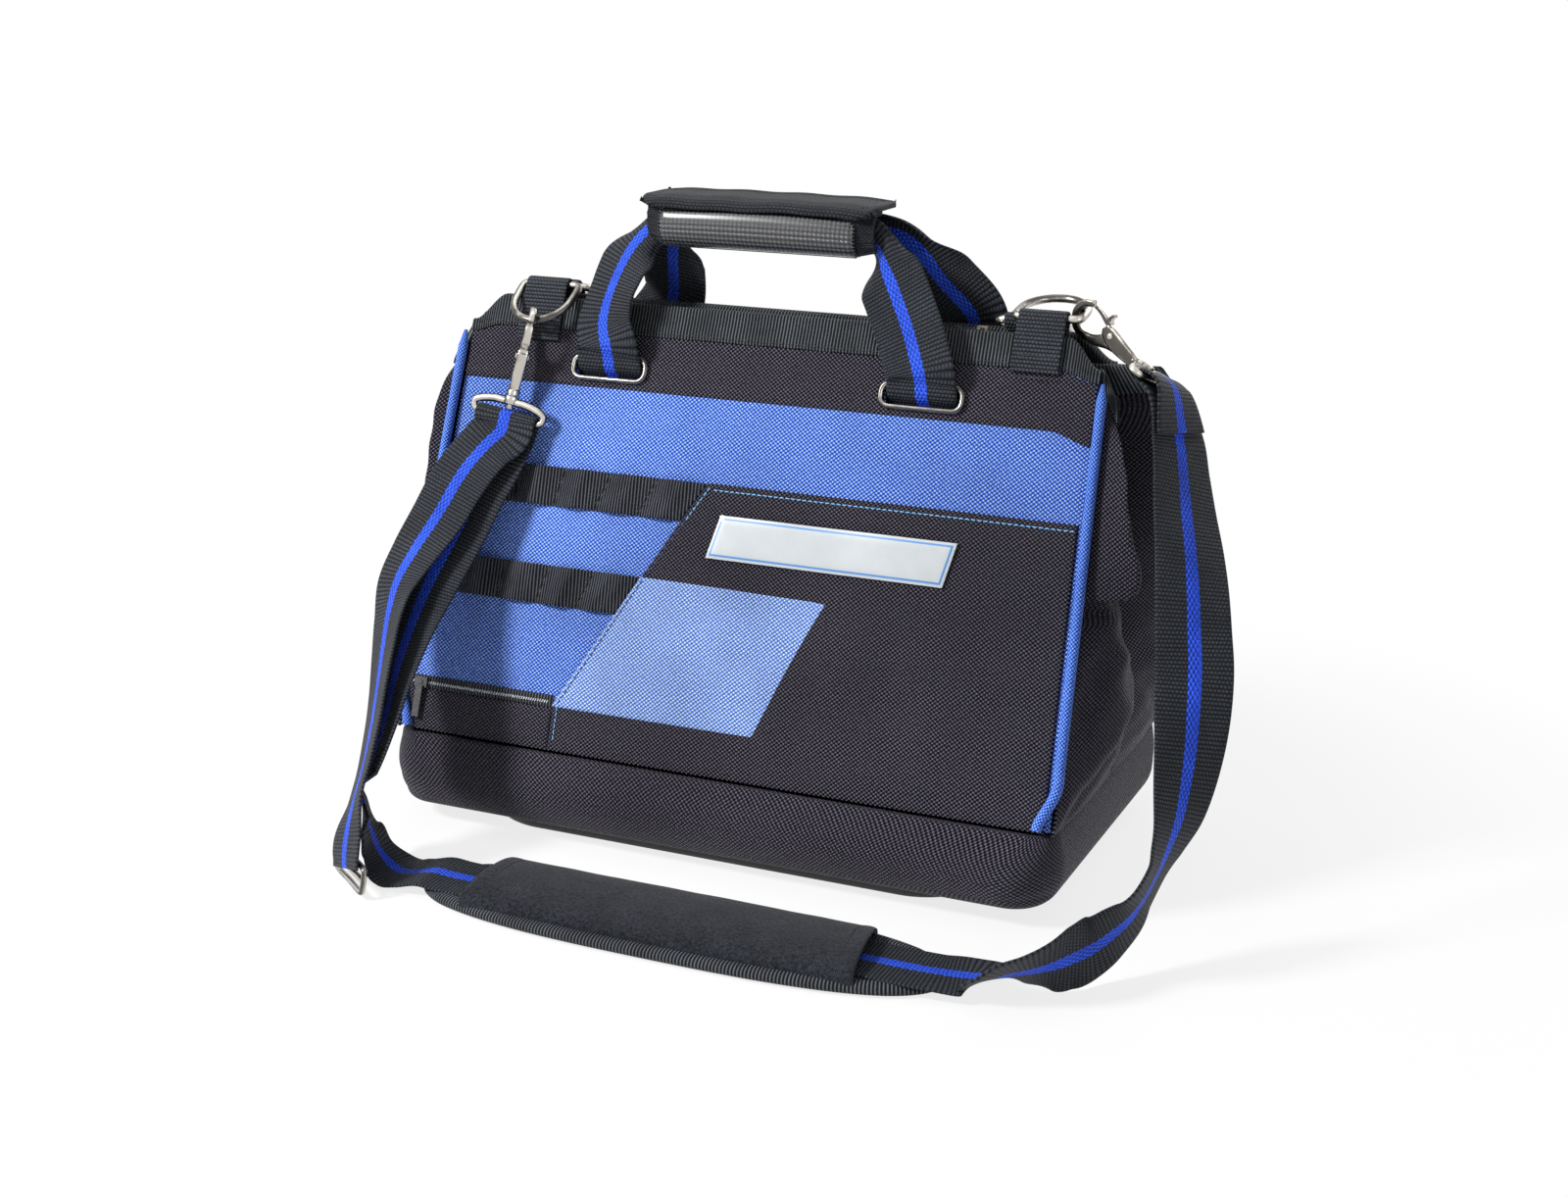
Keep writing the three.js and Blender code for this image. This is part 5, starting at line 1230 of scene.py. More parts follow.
# Handles: each strap comes out through its slot over the eyelet's upper rim, climbs, curls lengthwise
# into the grip and comes down again. Legs are listed as (x, z).
handle = {"half": 19, "thick": 2.2, "middle": 337.5, "curl": 1.95,
          "front": {"inGrip": -7.0, "left": ((-97, 282), (-93, 306), (-82, 327), (-66, 337.5)),
                    "right": ((84, 290), (68, 317), (60, 331), (49, 337.5))},
          "back": {"inGrip": 5.4, "left": ((-76, 290), (-70, 316), (-66, 331), (-55, 337.5)),
                   "right": ((106, 290), (91, 312), (75, 332), (58, 337.5))}}


def handleStrap(side):
    word = words[side]
    leg = handle[word]
    slotX, slotS = panel["slotX"], panel["slotS"]
    foot = place(side, slotX, slotS, 6.4)
    line = []
    for end in (-1, 1):
        part = [place(side, end * slotX, s, lift) for s, lift in ((212.0, -9.0), (214.6, -3.0),
                (218.0, 2.4), (223.6, 5.9))]
        part.append(np.array([end * 93.3, foot[1] * 0.985, foot[2] + 12]))
        part += [np.array([x, lerp(foot[1], leg["inGrip"],
                                   smooth((z - foot[2]) / (handle["middle"] - foot[2]))), z])
                 for x, z in leg["left" if end < 0 else "right"]]
        line += part if end < 0 else part[::-1]
    path = curve(np.array(line), 260)
    along = unit(np.gradient(path, axis=0))
    n = np.array([0.0, side, 0.0]) - along * (along * [0, side, 0]).sum(1)[:, None]
    across = unit(np.cross(n, along))
    folded = smooth((path[:, 2] - handle["middle"] + 26) / 20)
    roll = handle["curl"] * folded
    rise = path[:, 2]
    lean = np.where(path[:, 0] < -6, -0.5 * smooth((rise - 262) / 40),
                    0.6 * smooth((rise - 312) / 16)) * (side < 0)
    normal = np.cross(along, across)
    across = across * np.cos(lean)[:, None] + normal * np.sin(lean)[:, None]
    piece = webbing(word + "HandleStrap", path, across * -side if side < 0 else across, handle["half"],
                    handle["thick"], "striped", roll=roll, keep=0.42)
    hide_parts(word + "_handle")
    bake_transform(piece)


for side in (-1, 1):
    handleStrap(side)


# Grip: a wrap round the front strap, open to the back, faced with vinyl that bulges at the front
grip = {"left": -73, "right": 61, "wall": 2.6, "notch": 17}


def gripWrap():
    x = np.linspace(grip["left"], grip["right"], 90)
    mid = (grip["left"] + grip["right"]) / 2
    f = np.clip(np.abs(x - mid) / (grip["right"] - mid), 0, 1)
    pinch = 1 - 0.20 * smooth((f - 0.80) / 0.2)
    opened = smooth((f - (1 - grip["notch"] / 67)) / 0.03)
    lap = lerp(13.0, -11.5, opened)
    base = [(-2, 351.6), (-8, 351.9), (-13, 351.3), (-17.3, 347.6), (-19.0, 341), (-18.8, 335.5),
            (-17.2, 330), (-13.8, 326.4), (-11.5, 325.4)]
    shape = curve(np.array([(y, z, 0) for y, z in base]), 30)[:, :2]
    outer = np.repeat(shape[None], len(x), 0)
    tail = np.full((len(x), 8, 2), 325.2)
    tail[..., 0] = -11.5 + np.linspace(0, 1, 9)[1:] * (lap[:, None] + 11.5)
    outer = np.concatenate([outer, tail], 1)
    center = np.array([-6.0, 338.0])
    gather = 0.45 * np.sin(np.arange(outer.shape[1])[None] * 1.9) * smooth((f - 0.82) / 0.12)[:, None]
    away = unit(outer - center)
    outer = center + (outer - center) * pinch[:, None, None] + away * gather[..., None]
    step = unit(np.gradient(outer, axis=1))
    n = np.stack([step[..., 1], -step[..., 0]], -1)
    n *= np.sign((n * (center - outer)).sum(-1).mean())
    n[:, -8:] = [0, 1]
    inner = outer + n * grip["wall"] * 0.8
    lift = lambda a: np.concatenate([np.repeat(x[:, None], a.shape[1], 1)[..., None], a], -1)
    outer3, inner3 = lift(outer), lift(inner)
    uv = uvGrid(x, lengths(outer[45]))
    piece = shell("gripWrapCloth", outer3, inner3, uv, "meshCloth")
    settle(piece, "front_handle", "webbing", "grip_wrap")


def gripFacing():
    u = np.linspace(0, 1, 70)
    v = np.linspace(0, 1, 26)
    U, W = np.meshgrid(u, v, indexing="ij")
    x = lerp(grip["left"] + 9, grip["right"] - 10, U)
    base = curve(np.array([(-17.9, 347.2, 0), (-19.8, 342.6, 0), (-20.4, 337, 0), (-19.2, 331, 0),
                           (-15.4, 326.4, 0), (-10, 324.9, 0)], float), 26)[:, :2]
    bow = 4 * U * (1 - U)
    y = base[None, :, 0] - 1.6 * bow ** 0.5 * np.sin(np.pi * W) ** 0.7
    z = base[None, :, 1] + 2.0 * (bow - 0.6) * (1 - W) ** 2 - 0.5 * np.sin(np.pi * W)
    edge = np.minimum(np.minimum(U, 1 - U) * 115, np.minimum(W, 1 - W) * 30)
    tuck = np.exp(-edge / 1.1)
    outer = np.stack([x, y + 0.9 * tuck, z], -1)
    inner = outer + np.array([0, 1.7, 0.4]) * (1 - 0.5 * tuck)[..., None]
    uv = np.stack([x, lengths(np.stack([0 * base[:, 0], base[:, 0], base[:, 1]], -1))[None] + 0 * x], -1)
    piece = shell("gripFacingVinyl", outer, inner, uv, "vinyl")
    border = curve(np.concatenate([outer[1:-1, 0] + [0, -0.5, 0.5], outer[-1:, 4:-4].reshape(-1, 3),
                                   outer[1:-1, -1][::-1], outer[:1, 4:-4].reshape(-1, 3)[::-1]])[::4], 240,
                                   closed=True)
    cord = tube("gripEdge", border, 0.75, "binding", closed=True, sides=8)
    settle(joined("gripFacingVinyl", piece, cord), "front_handle", "vinyl", "grip_facing")


# Grip flap: a soft roof with rounded corners whose front edge hangs down as a thick bound roll
flap = {"x": -6, "halfX": 70, "front": -22.6, "back": 17, "top": 353.9, "thick": 2.1, "droop": 5.6}


def flapHeight(x, y):
    a = (x - flap["x"]) / flap["halfX"]
    front = np.clip((-11 - y) / (-11 - flap["front"]), 0, 1)
    back = np.clip((y - 4) / 13, 0, 1)
    ripple = 0.4 * np.sin(x / 13 + 0.5) * front + 0.25 * np.sin(x / 5.5)
    return flap["top"] - 1.5 * np.abs(a) ** 4 - flap["droop"] * front ** 2.4 - 0.8 * back ** 2 + ripple


def gripFlap():
    u = np.unique(np.concatenate([[0, 0.003, 0.01, 0.99, 0.997, 1], np.linspace(0.02, 0.98, 60)]))
    v = np.unique(np.concatenate([[0, 0.012, 0.03, 0.06, 0.965, 0.988, 1], np.linspace(0.08, 0.93, 26)]))
    U, W = np.meshgrid(u, v, indexing="ij")
    a, b = U * 2 - 1, W * 2 - 1
    x = flap["x"] + a * np.sqrt(1 - 0.06 * np.abs(b) ** 8) * flap["halfX"]
    mid, half = (flap["front"] + flap["back"]) / 2, (flap["back"] - flap["front"]) / 2
    y = mid + b * (1 - 0.2 * np.abs(a) ** 26) * half
    roof = flapHeight(x, y)
    edge = np.minimum(np.minimum(U, 1 - U) * 138, np.minimum(W, 1 - W) * 40)
    roll = np.sqrt(np.clip(1 - ((edge - 2.6) / 2.6) ** 2, 0, 1)) * (edge < 5.2) - 0.6 * np.exp(-edge / 0.35)
    grid = np.stack([x, y, roof], -1)
    out = unit(np.cross(np.gradient(grid, axis=0), np.gradient(grid, axis=1)))
    piece = shell("gripFlapCloth", grid + out * roll[..., None],
                  grid - out * (flap["thick"] + 0.4 * roll)[..., None], np.stack([x, y], -1), "meshCloth",
                  sharp=50)
    t = np.linspace(0, 2 * np.pi, 200, endpoint=False)
    ringX = flap["x"] + (flap["halfX"] - 5.4) * np.sign(np.cos(t)) * np.abs(np.cos(t)) ** 0.12
    ringY = mid + (half - 5.2) * np.sign(np.sin(t)) * np.abs(np.sin(t)) ** 0.3
    ring = np.stack([ringX, ringY, flapHeight(ringX, ringY) + 0.15], -1)
    sewn = stitches("flapStitch", np.concatenate([ring, ring[:1]]), np.tile([0.0, 0, 1], (201, 1)),
                    "blackThread", 3.0, 2.3, 0.28)
    piece = joined("gripFlapCloth", piece, sewn)
    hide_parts("grip_flap")
    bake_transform(piece)


gripWrap()
gripFacing()
gripFlap()
print("handles and grip made")


# D-rings: bar in the tab, then the bow, lying in a plane tilted from level
ringPart = {"wire": 2.2, "half": 17.8, "straight": 12, "corner": 2.6, "shift": 1.4}


def ringPlane(side, x, barS, tilt, reach):
    bar = place(side, float(x), float(barS), tabPart["barLift"])
    bar = bar - panelOut(side, bar) * waves(float(x), float(barS))
    outward = np.array([0, side * reach * math.cos(tilt), math.sin(tilt)])
    return lambda a, b: np.array([x + a, bar[1], bar[2]]) + outward * b


def dRing(name, plane, node):
    r = ringPart
    flat = r["half"] - r["corner"]
    side = [(flat, 0), (r["half"] - 0.8, 0.8), (r["half"], r["corner"]), (r["half"], r["straight"])]
    bow = [(r["half"] * math.cos(math.pi * k / 12), r["straight"] + r["half"] * math.sin(math.pi * k / 12))
           for k in range(1, 12)]
    points = [(0, 0), (flat / 2, 0)] + side + bow + [(-a, b) for a, b in side[::-1]] + [(-flat / 2, 0)]
    line = curve(np.array([plane(a, b) for a, b in points]), 120, closed=True)
    settle(tube(name, line, r["wire"], "nickel", closed=True, sides=18), node, "nickel", node)


# Each ring's tilt and which way it lies, then how far it sits to one side of its tab
tilts = ((-0.6, 1, ringPart["shift"]), (0.19, -1, ringPart["shift"]), (-0.35, 1, 0), (-0.35, 1, 0))
planes = [ringPlane(side, x + shift, barS, tilt, reach)
          for (side, x, barS), (tilt, reach, shift) in zip(tabs, tilts)]
for (side, x, barS), plane in zip(tabs, planes):
    word, hand = words[side], hands[-1 if x < 0 else 1]
    dRing(f"dRing{word.title()}{hand.title()}", plane, f"{word}_ring_{hand}")
ringLeft, ringRight = planes[:2]


# Snap hooks. a runs along the hook from its swivel, b towards the lever, c out of its face.
hookPart = {"wire": 2.4, "eye": 8.4, "collar": 3.6, "drop": 12.4, "bar": 1.9, "loopHalf": 22.0}


def hookAxes(eye, swivel, way):
    eye, swivel, way = (np.asarray(p, float) for p in (eye, swivel, way))
    along = unit(eye - swivel)
    thick = unit(way - along * way.dot(along))
    long = np.linalg.norm(eye - swivel) - hookPart["eye"] + hookPart["wire"] + ringPart["wire"] + 0.6
    return {"along": along, "thick": thick, "side": np.cross(thick, along), "long": float(long),
            "swivel": swivel}


def onHook(f, abc):
    a, b, c = (np.asarray(q, float)[..., None] for q in abc)
    return f["swivel"] + f["along"] * a + f["side"] * b + f["thick"] * c


# The painted reflection streaks of the nickel follow a piece once round in ten units
def turnsUv(points):
    return uvGrid(lengths(points[:, 0]), np.linspace(0, 10, points.shape[1] + 1))


def turnedOnHook(name, f, profile, sides=28):
    profile = np.asarray(profile, float)
    angle = 2 * np.pi * np.arange(sides) / sides
    points = onHook(f, (profile[:, :1] + 0 * angle[None], profile[:, 1:] * np.cos(angle)[None],
                        profile[:, 1:] * np.sin(angle)[None]))
    return gridMesh(name, points, turnsUv(points), "nickel", sharp=35)


# A bar of rounded-rectangle section: rows of (a, b, half width, half thickness)
def flatBar(name, f, rows, power=0.35):
    rows = np.asarray(rows, float)
    line, size = curve(np.stack([rows[:, 0], rows[:, 1], 0 * rows[:, 0]], -1), 50, rows[:, 2:4])
    t = unit(np.gradient(line[:, :2], axis=0))
    angle = 2 * np.pi * (np.arange(20) + 0.5) / 20
    w = np.sign(np.cos(angle)) * np.abs(np.cos(angle)) ** power
    h = np.sign(np.sin(angle)) * np.abs(np.sin(angle)) ** power
    a = line[:, 0, None] - t[:, 1, None] * w[None] * size[:, 0, None]
    b = line[:, 1, None] + t[:, 0, None] * w[None] * size[:, 0, None]
    points = onHook(f, (a, b, h[None] * size[:, 1, None]))
    return gridMesh(name, points, turnsUv(points), "nickel", sharp=38)


def snapHook(hand, f):
    eye, long = hookPart["eye"], f["long"]
    stem = [(7, 0, 3.0, 2.5), (long - 26, 0.4, 4.4, 2.9), (long - 18, -1.4, 4.2, 3.0),
            (long - 11, -5.6, 3.0, 2.7), (long - 5, -eye + 0.9, 2.3, 2.4),
            (long, -eye, 2.2, 2.3), (long + eye * 0.7, -eye * 0.7, 2.2, 2.2), (long + eye, 0, 2.2, 2.2),
            (long + eye * 0.7, eye * 0.7, 2.1, 2.1), (long + 1.6, eye, 1.9, 1.9)]
    body = flatBar("hookStem", f, stem, power=0.62)
    wide = flatBar("hookBlock", f, [(4, 0, 3.0, 2.8), (9, 0.2, 3.9, 3.1), (long - 22, 1.2, 5.0, 3.3),
                                    (long - 15.5, 2.8, 4.4, 3.2), (long - 13, 4.2, 2.6, 2.9)])
    post = turnedOnHook("hookPost", f, [(-7.8, 1.6), (-7.6, 2.7), (-6.6, 2.9), (-6.4, 2.6), (-6.4, 1.7),
                                        (-3, 1.7), (0, 1.7), (0.1, 3.5), (0.5, 3.8), (2.8, 3.8),
                                        (3.3, 3.5), (3.6, 3.1), (4.6, 3.1), (5.2, 3.4), (6.0, 3.4),
                                        (6.6, 2.9)])
    rivet = []
    for c in (-1, 1):
        angle = 2 * np.pi * np.arange(20) / 20
        ring = [(3.1, 1.7), (3.6, 1.7), (3.9, 1.4), (4.0, 0.8), (4.05, 0.1)]
        points = np.stack([onHook(f, (long - 18.5 + r * np.cos(angle), 2.2 + r * np.sin(angle),
                                      c * h + 0 * angle)) for h, r in ring])
        rivet.append(gridMesh("hookRivet", points, None, "nickel", sharp=30))
    settle(joined("hookBody" + hand.title(), body, wide, post, *rivet), "hook_" + hand, "nickel",
           "hook_" + hand)
    lever = flatBar("hookLever" + hand.title(), f, [(long - 13.6, 5.6, 1.3, 2.3),
                                                    (long - 11, 6.9, 1.6, 2.5), (long - 7, 8.1, 1.4, 2.3),
                                                    (long - 3, 8.6, 1.2, 2.1), (long - 0.9, 8.5, 1.0, 1.9)])
    thumb = flatBar("hookThumb", f, [(long - 12.4, 7.2, 0.8, 1.8), (long - 12.2, 9.4, 0.9, 2.0),
                                     (long - 13.2, 11.2, 0.8, 1.8)])
    settle(joined("hookLever" + hand.title(), lever, thumb), "hook_trigger_" + hand, "nickel",
           "hook_trigger_" + hand)


def strapLoop(hand, f, bar):
    w = np.asarray(bar, float)
    w = unit(w - f["along"] * w.dot(f["along"]))
    middle = f["swivel"] - f["along"] * hookPart["drop"]
    rise, half = hookPart["drop"] - hookPart["collar"], hookPart["loopHalf"]
    points = [(-half + 4, 0), (0, 0), (half - 4, 0), (half - 0.8, 1.4), (half - 0.6, 5),
              (half * 0.55, rise - 0.4), (0, rise), (-half * 0.55, rise - 0.4),
              (-half + 0.6, 5), (-half + 0.8, 1.4)]
    line = curve(np.array([middle + w * a + f["along"] * b for a, b in points]), 130, closed=True)
    height = (line - middle) @ f["along"]
    wire = tube("strapLoopWire", line, hookPart["bar"] + 0.5 * smooth((height - 3) / 5), "nickel",
                closed=True, sides=16)
    collar = turnedOnHook("loopCollar", f, [(-5.2, 2.15), (-5.2, 3.6), (-4.9, 4.0), (-3.2, 4.3),
                                            (-1.2, 4.3), (-0.5, 4.0), (-0.3, 3.6), (-0.3, 2.15)])
    settle(joined("strapLoop" + hand.title(), wire, collar), "hook_loop_" + hand, "nickel", "hook_loop_"
           + hand)
    return middle, w


hookLeft = hookAxes(ringLeft(0, 29.8), (-147, -42, 239), (0.85, 0.53, 0))
hookRight = hookAxes(ringRight(18.0, 7.5), (209, -14, 279), (0, 1, 0.1))
snapHook("left", hookLeft)
snapHook("right", hookRight)
barLeft = strapLoop("left", hookLeft, (0.92, 0, -0.39))
barRight = strapLoop("right", hookRight, (-0.08, 0.99, -0.13))
print("rings and hooks made")


# Shoulder strap. Each place is a point and the direction of the strap's width there.
strap = {"half": 19, "thick": 1.8, "layer": 2.8, "turn": 3.25, "leg": 8, "tailLift": 2.6,
         "outer": ((-156.5, -57.2, 212, .98, -.05, -.14), (-165.3, -67.8, 197.9, 1, -.02, -.07),
                   (-174.9, -81, 174.9, .99, -.11, -.04),
                   (-183.1, -92.4, 157, .97, -.25, .01), (-187.9, -104.3, 140.9, .9, -.44, .02),
                   (-186.7, -116.1, 124.7, .81, -.55, .2),
                   (-181.8, -130.5, 107.8, .75, -.6, .28), (-176.3, -145.3, 90.8, .7, -.65, .31),
                   (-171.3, -159.9, 74.1, .67, -.66, .32),
                   (-167.4, -175.5, 56.2, .65, -.67, .37), (-165.6, -186.9, 43.6, .65, -.7, .3),
                   (-164.2, -197, 28, .77, -.63, .06),
                   (-163.1, -201.6, 18.3, .8, -.6, 0), (-162, -204, 10.8, .8, -.6, 0)),
         "inner": ((-152.3, -55.5, 204, .99, .03, -.1), (-157.7, -65.2, 187.8, 1, .03, .01),
                   (-165.8, -78.8, 163.9, 1, .1, 0),
                   (-172.5, -97, 138.5, 1, .02, .03), (-174.7, -113.4, 117.2, .97, -.19, .14),
                   (-172.4, -133.8, 95, .89, -.4, .21),
                   (-167.5, -153.3, 74.8, .79, -.55, .27), (-165.6, -169.2, 57.7, .72, -.62, .3),
                   (-165.3, -176.3, 50.5, .69, -.66, .3)),
         "long": ((-166.0, -179.4, 40, -.6, .72, -.34), (-166, -178, 28.5, -.4, .84, -.36),
                  (-163.2, -178, 21.8, -.25, .89, -.38),
                  (-159.9, -177.5, 12.5, -.09, .93, -.35), (-152, -178, 5, 0, 1, -.1),
                  (-143, -180, 2.6, 0, 1, 0), (-134, -181, 4, 0, 1, 0),
                  (-121, -181, 7.2, 0, 1, 0), (-108, -181, 6.6, 0, 1, 0), (-60, -181, 6.6, 0, 1, 0),
                  (20, -181, 6.6, 0, 1, 0),
                  (110, -181, 6.6, 0, 1, 0), (166, -181, 6.6, 0, 1, 0), (186, -178, 6.6, 0, 1, 0),
                  (195.7, -181, 10, -.15, .9, -.4),
                  (203, -181, 13.4, -.05, .8, -.58), (212.6, -178.7, 16.2, .04, .75, -.66),
                  (221.9, -173.6, 18.6, .16, .66, -.72),
                  (229.5, -164.4, 20.3, .23, .58, -.76), (236.5, -154, 22.4, .26, .56, -.75),
                  (243, -147, 27.4, .2, .63, -.72),
                  (249.5, -140, 34, .1, .75, -.65), (254.5, -134, 43, 0, .88, -.47),
                  (258.7, -125.7, 54.7, .01, .94, -.35),
                  (261.4, -121, 64.2, .16, .94, -.29), (264.6, -114.9, 78.4, .39, .9, -.19),
                  (265.7, -108.1, 96, .59, .79, -.13),
                  (265.8, -102.2, 113.8, .74, .67, -.09), (264.7, -96.2, 130.9, .85, .52, -.07),
                  (262.6, -88.6, 147.9, .88, .47, -.07),
                  (258.9, -80, 164.5, .85, .51, -.11), (254.8, -70.2, 181.3, .8, .58, -.14),
                  (249.8, -59, 197.4, .72, .66, -.19),
                  (243.5, -46.9, 214.4, .61, .77, -.19), (237.9, -35.7, 231.5, .51, .84, -.21),
                  (232.3, -27, 249.2, .44, .87, -.22))}


def aroundBar(f, bar, w, start, end):
    n = unit(np.cross(w, f["along"]))
    angle = np.linspace(start, end, 7)[:, None]
    return bar + n * strap["turn"] * np.cos(angle) + f["along"] * strap["turn"] * np.sin(angle)


def offsetLine(rows, distance):
    p = rows[:, :3]
    before = np.concatenate([p[:1], p[:-1]])
    after = np.concatenate([p[1:], p[-1:]])
    return p - unit(np.cross(unit(after - before), rows[:, 3:])) * distance


def leftStrap():
    outer, inner = np.array(strap["outer"], float), np.array(strap["inner"], float)
    bar, w = barLeft
    turn = aroundBar(hookLeft, bar, w, 0, math.pi)
    legs = turn[[0, -1]] - hookLeft["along"] * strap["leg"]
    path = np.concatenate([outer[::-1, :3], legs[:1], turn, legs[1:], inner[:, :3]])
    wide = np.concatenate([outer[::-1, 3:], np.tile(w, (9, 1)), inner[:, 3:]])
    line, across = curve(path, 520, wide)
    piece = webbing("shoulderStrapLeft", line, across, strap["half"] - 1, strap["thick"], "striped")
    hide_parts("strap_left")
    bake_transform(piece)


def longStrap():
    rows = np.array(strap["long"], float)
    bar, w = barRight
    turn = aroundBar(hookRight, bar, w, math.pi, 0)
    legs = turn[[0, -1]] - hookRight["along"] * strap["leg"]
    path = np.concatenate([rows[:, :3], legs[:1], turn, legs[1:], offsetLine(rows, strap["tailLift"])[-1:]])
    wide = np.concatenate([rows[:, 3:], np.tile(w, (9, 1)), rows[-1:, 3:]])
    line, across = curve(path, 760, wide)
    narrow = 1.4 * smooth((np.arange(len(line)) / len(line) - 0.93) / 0.05)
    piece = webbing("shoulderStrapLong", line, across, strap["half"] - narrow, strap["thick"], "striped")
    at = np.argmin(np.linalg.norm(line - rows[-1, :3], axis=1))
    t = unit(line[at + 1] - line[at - 1])
    wHere = unit(across[at] - t * across[at].dot(t))
    row = line[at] + wHere * np.linspace(-17.5, 17.5, 20)[:, None] + unit(np.cross(t, wHere)) * 0.95
    back = row - unit(np.cross(t, wHere)) * 1.9
    sewn = [stitches("strapStitch", r, np.tile(unit(np.cross(t, wHere)) * k, (20, 1)), "blackThread", 2.4,
                     2.1, 0.3) for r, k in ((row, 1), (back, -1))]
    piece = joined("shoulderStrapLong", piece, *sewn)
    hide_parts("strap_long")
    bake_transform(piece)


leftStrap()
longStrap()


# Adjuster: a wire frame with a middle bar on the doubled strap's lower end
adjusterPart = {"half": 20.9, "tall": 6.5, "wire": 1.6}


def adjuster():
    rows = np.array(strap["outer"], float)
    p, w = offsetLine(rows, strap["layer"])[-1], rows[-1, 3:]
    up = rows[-2, :3] - rows[-1, :3]
    up = unit(up - w * up.dot(w) / w.dot(w))
    across = unit(w)
    half, tall, wire = (adjusterPart[key] for key in ("half", "tall", "wire"))
    low = [(-half, -tall + 2), (-half + 0.7, -tall + 0.7), (-half + 2, -tall), (0, -tall),
           (half - 2, -tall), (half - 0.7, -tall + 0.7), (half, -tall + 2)]
    points = low + [(half, 0)] + [(-a, -b) for a, b in low] + [(-half, 0)]
    line = curve(np.array([p + across * a + up * b for a, b in points]), 130, closed=True)
    frameWire = tube("adjusterWire", line, wire, "nickel", closed=True)
    bar = tube("adjusterBar", np.array([p + across * a for a in np.linspace(-half, half, 12)]), wire,
               "nickel")
    settle(joined("strapAdjusterWire", frameWire, bar), "root", "nickel", "strap_adjuster")


adjuster()
print("straps made")


# Shoulder pad: a lens-shaped cushion with a bound edge, and a fleece sleeve over the strap
pad = {"left": -125, "right": 172, "y": -181, "half": 36, "rim": 5.0, "flat": 0.66, "sleeveLeft": -88,
       "sleeveRight": 128.5,
       "slant": 4.5, "sleeveHigh": 15, "sleeveLow": 5.3, "sleeveHalf": 29.0,
       "profile": ((20, 0.0), (8, 0.0), (2.6, 0.1), (0.6, 0.9), (0, 2.2), (0.4, 3.6), (1.8, 4.7),
                   (4.6, 5.0),
                   (5.2, 4.55), (5.8, 4.9), (9, 5.0), (20, 5.0)),
       "voxel": 0.0022, "swell": 0.0012}


def lensRing(inset, z, n=160):
    angle = 2 * np.pi * np.arange(n) / n
    c, s = np.cos(angle), np.sin(angle)
    half = (pad["right"] - pad["left"]) / 2 - inset
    x = (pad["left"] + pad["right"]) / 2 + half * np.sign(c) * np.abs(c) ** 0.72
    y = pad["y"] + (pad["half"] - inset) * np.sign(s) * np.abs(s) ** 0.9
    return np.stack([x, y, np.full_like(x, z)], -1)


# A filled piece swells like cloth under pressure: it is remeshed, blown up for twenty frames and kept
# within reach of where it began; held gives how free each point is
def swell(piece, voxel, reach, held, pressure=4.0, frames=20):
    remesh = piece.modifiers.new("remesh", "REMESH")
    remesh.mode = "VOXEL"
    remesh.voxel_size = voxel
    mesh = bpy.data.meshes.new_from_object(piece.evaluated_get(bpy.context.evaluated_depsgraph_get()))
    piece.modifiers.clear()
    for m in piece.data.materials:
        if m.name not in mesh.materials:
            mesh.materials.append(m)
    piece.data = mesh
    mesh.name = piece.name
    start = shapeOf(piece)
    cloth = piece.modifiers.new("cloth", "CLOTH")
    cloth.settings.quality = 4
    cloth.settings.mass = 0.3
    cloth.settings.use_pressure = True
    cloth.settings.uniform_pressure_force = pressure
    cloth.settings.effector_weights.gravity = 0
    cloth.point_cache.frame_start, cloth.point_cache.frame_end = 1, frames
    for step in range(1, frames + 1):
        bpy.context.scene.frame_set(step)
    end = shapeOf(piece)
    piece.modifiers.clear()
    bpy.context.scene.frame_set(1)
    move = end - start
    far = np.linalg.norm(move, axis=1, keepdims=True)
    move *= np.minimum(1, reach / np.maximum(far, 1e-9)) * held(start)[:, None]
    mesh.vertices.foreach_set("co", (start + move).astype(np.float32).ravel())
    mesh.polygons.foreach_set("use_smooth", np.ones(len(mesh.polygons), bool))
    mesh.update()
    print("swelled", piece.name, len(start), "points by up to",
          round(float(np.linalg.norm(move, axis=1).max()) * 1000, 2), "mm")


def shapeOf(piece):
    shown = piece.evaluated_get(bpy.context.evaluated_depsgraph_get()).data
    co = np.empty(len(shown.vertices) * 3, np.float32)
    shown.vertices.foreach_get("co", co)
    return co.reshape(-1, 3).astype(float)


# The pad's foot lies flat on the floor
def padHeld(p):
    return smooth((p[:, 2] * 1000 - 0.6) / 1.5)


def padBase():
    rings = np.stack([lensRing(inset, z) for inset, z in pad["profile"]])
    cushion = gridMesh("padCushion", rings, None, "padMesh", sharp=60)
    swell(cushion, pad["voxel"], pad["swell"], padHeld)
    line = curve(lensRing(3.6, 3.45), 420, closed=True)
    half = (pad["right"] - pad["left"]) / 2
    tip = smooth((np.abs(line[:, 0] - (pad["right"] + pad["left"]) / 2) - half + 26) / 22)
    line[:, 2] -= 1.1 * tip
    rim = tube("padBinding", line, pad["rim"] * (1 - 0.35 * tip), "padBinding", closed=True, sides=20,
               squash=pad["flat"])
    cushion = joined("padCushion", cushion, rim)
    settle(cushion, "pad", "fleece", "pad_base")


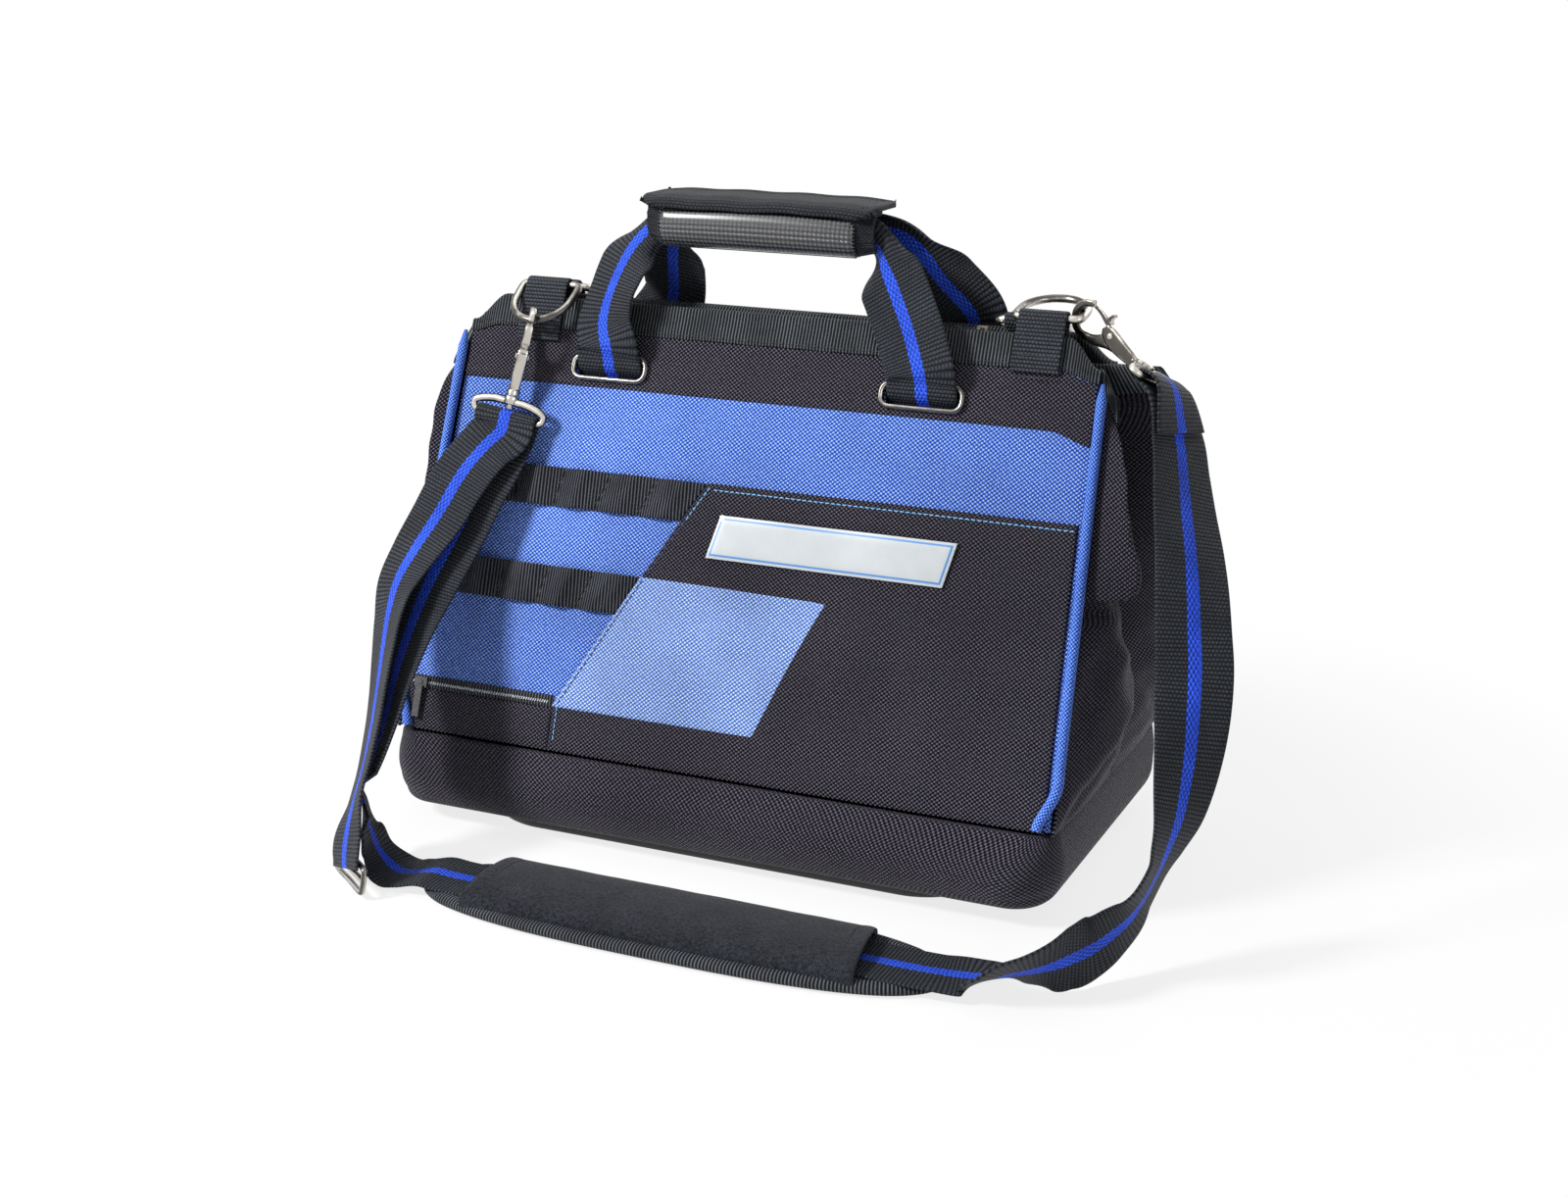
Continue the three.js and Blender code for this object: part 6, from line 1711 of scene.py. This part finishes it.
def padSleeve():
    x = np.linspace(pad["sleeveLeft"], pad["sleeveRight"], 150)
    angle = np.linspace(0, np.pi, 49)
    low, half = pad["sleeveLow"], pad["sleeveHalf"]
    high = pad["sleeveHigh"] - low
    c, s = -np.cos(angle), np.sin(angle)
    flatten = 1 - 0.08 * np.cos((x - 20) / 60)[:, None]
    lump = 0.5 * np.sin(x / 21)[:, None] * s[None] + 0.35 * np.sin(x / 8 + 2)[:,
            None] * (s * np.abs(c))[None] + 0.25 * np.sin(x / 4.7)[:, None] * s[None]
    end = np.minimum(x - x[0], x[-1] - x)[:, None]
    hem = 0.35 * bell(end - 3.5, 3.0) - 0.4 * bell(end - 8.5, 0.8) - 0.5 * np.exp(-end / 0.6)
    widen = 1.28 * np.sin(np.pi * np.clip((x - x[0]) / (x[-1] - x[0]), 0, 1))[:, None]
    y = pad["y"] + c[None] * (half + widen + hem * 0.4)
    z = low + (high * flatten) * s[None] ** 0.62 + (lump * 0.7 + hem) * s[None] ** 0.5
    X = x[:, None] - pad["slant"] * c[None] * smooth((x[:, None] - 60) / 60)
    outer = np.stack([X, y, z], -1)
    inner = np.stack([X, pad["y"] + c[None] * (half - 3.5) + 0 * X, low + (high - 2.2) * s[None] ** 0.6 + 0
                      * X], -1)
    piece = shell("padSleeveFleece", outer, inner, np.stack([X, angle[None] * 20 + 0 * X], -1), "fleece")
    rows = []
    for at in (x[0] + 8.5, x[-1] - 8.5):
        k = int(np.argmin(np.abs(x - at)))
        rows.append(stitches("sleeveStitch", outer[k, 3:-3] + [0, 0, 0.1],
                             unit(outer[k, 3:-3] - np.array([at, pad["y"], 0])), "blackThread", 3.2, 2.5,
                             0.3))
    settle(joined("padSleeveFleece", piece, *rows), "pad", "fleece", "pad_sleeve")


padBase()
padSleeve()
print("pad made")


# Small hardware kept from the frame gets its finish, as does the board inside
def dress(nodeName, finishName):
    for slotOf in nodes[nodeName].material_slots:
        slotOf.material = finish[finishName]


for name, finishName in (("zip_slider", "nickel"), ("zip_pull", "nickel"), ("pocket_slider", "coil"),
                         ("pocket_pull", "coil"), ("base_board", "lining")):
    dress(name, finishName)


# Floor: pale, and white to the camera and to mirrors except where the bag shades it
def pureFloor():
    mesh = bpy.data.meshes.new("studioFloor")
    r, z = studio["floorHalf"], studio["floorDrop"]
    mesh.from_pydata([(-r, -r, z), (r, -r, z), (r, r, z), (-r, r, z)], [], [(0, 1, 2, 3)])
    floor = bpy.data.objects.new("studioFloor", mesh)
    bpy.context.scene.collection.objects.link(floor)
    material, t, shader = tree("floorPaint")
    pale = studio["floorPaint"]
    give(shader, {"Base Color": (pale, pale, pale, 1), "Roughness": 0.9})
    glow = t.nodes.new("ShaderNodeEmission")
    give(glow, {"Strength": 1.0})
    blend = t.nodes.new("ShaderNodeMixShader")
    away = t.nodes.new("ShaderNodeVectorMath")
    away.operation = "LENGTH"
    t.links.new(coordinates(t)["Object"], away.inputs[0])
    far = remap(t, away.outputs["Value"], 0.3, 0.55, 0.8, 1.0)
    t.links.new(calc(t, "MULTIPLY", seenRay(t), far), blend.inputs[0])
    t.links.new(shader.outputs[0], blend.inputs[1])
    t.links.new(glow.outputs[0], blend.inputs[2])
    t.links.new(blend.outputs[0], t.nodes["Material Output"].inputs["Surface"])
    mesh.materials.append(material)


pureFloor()

print("scene made")
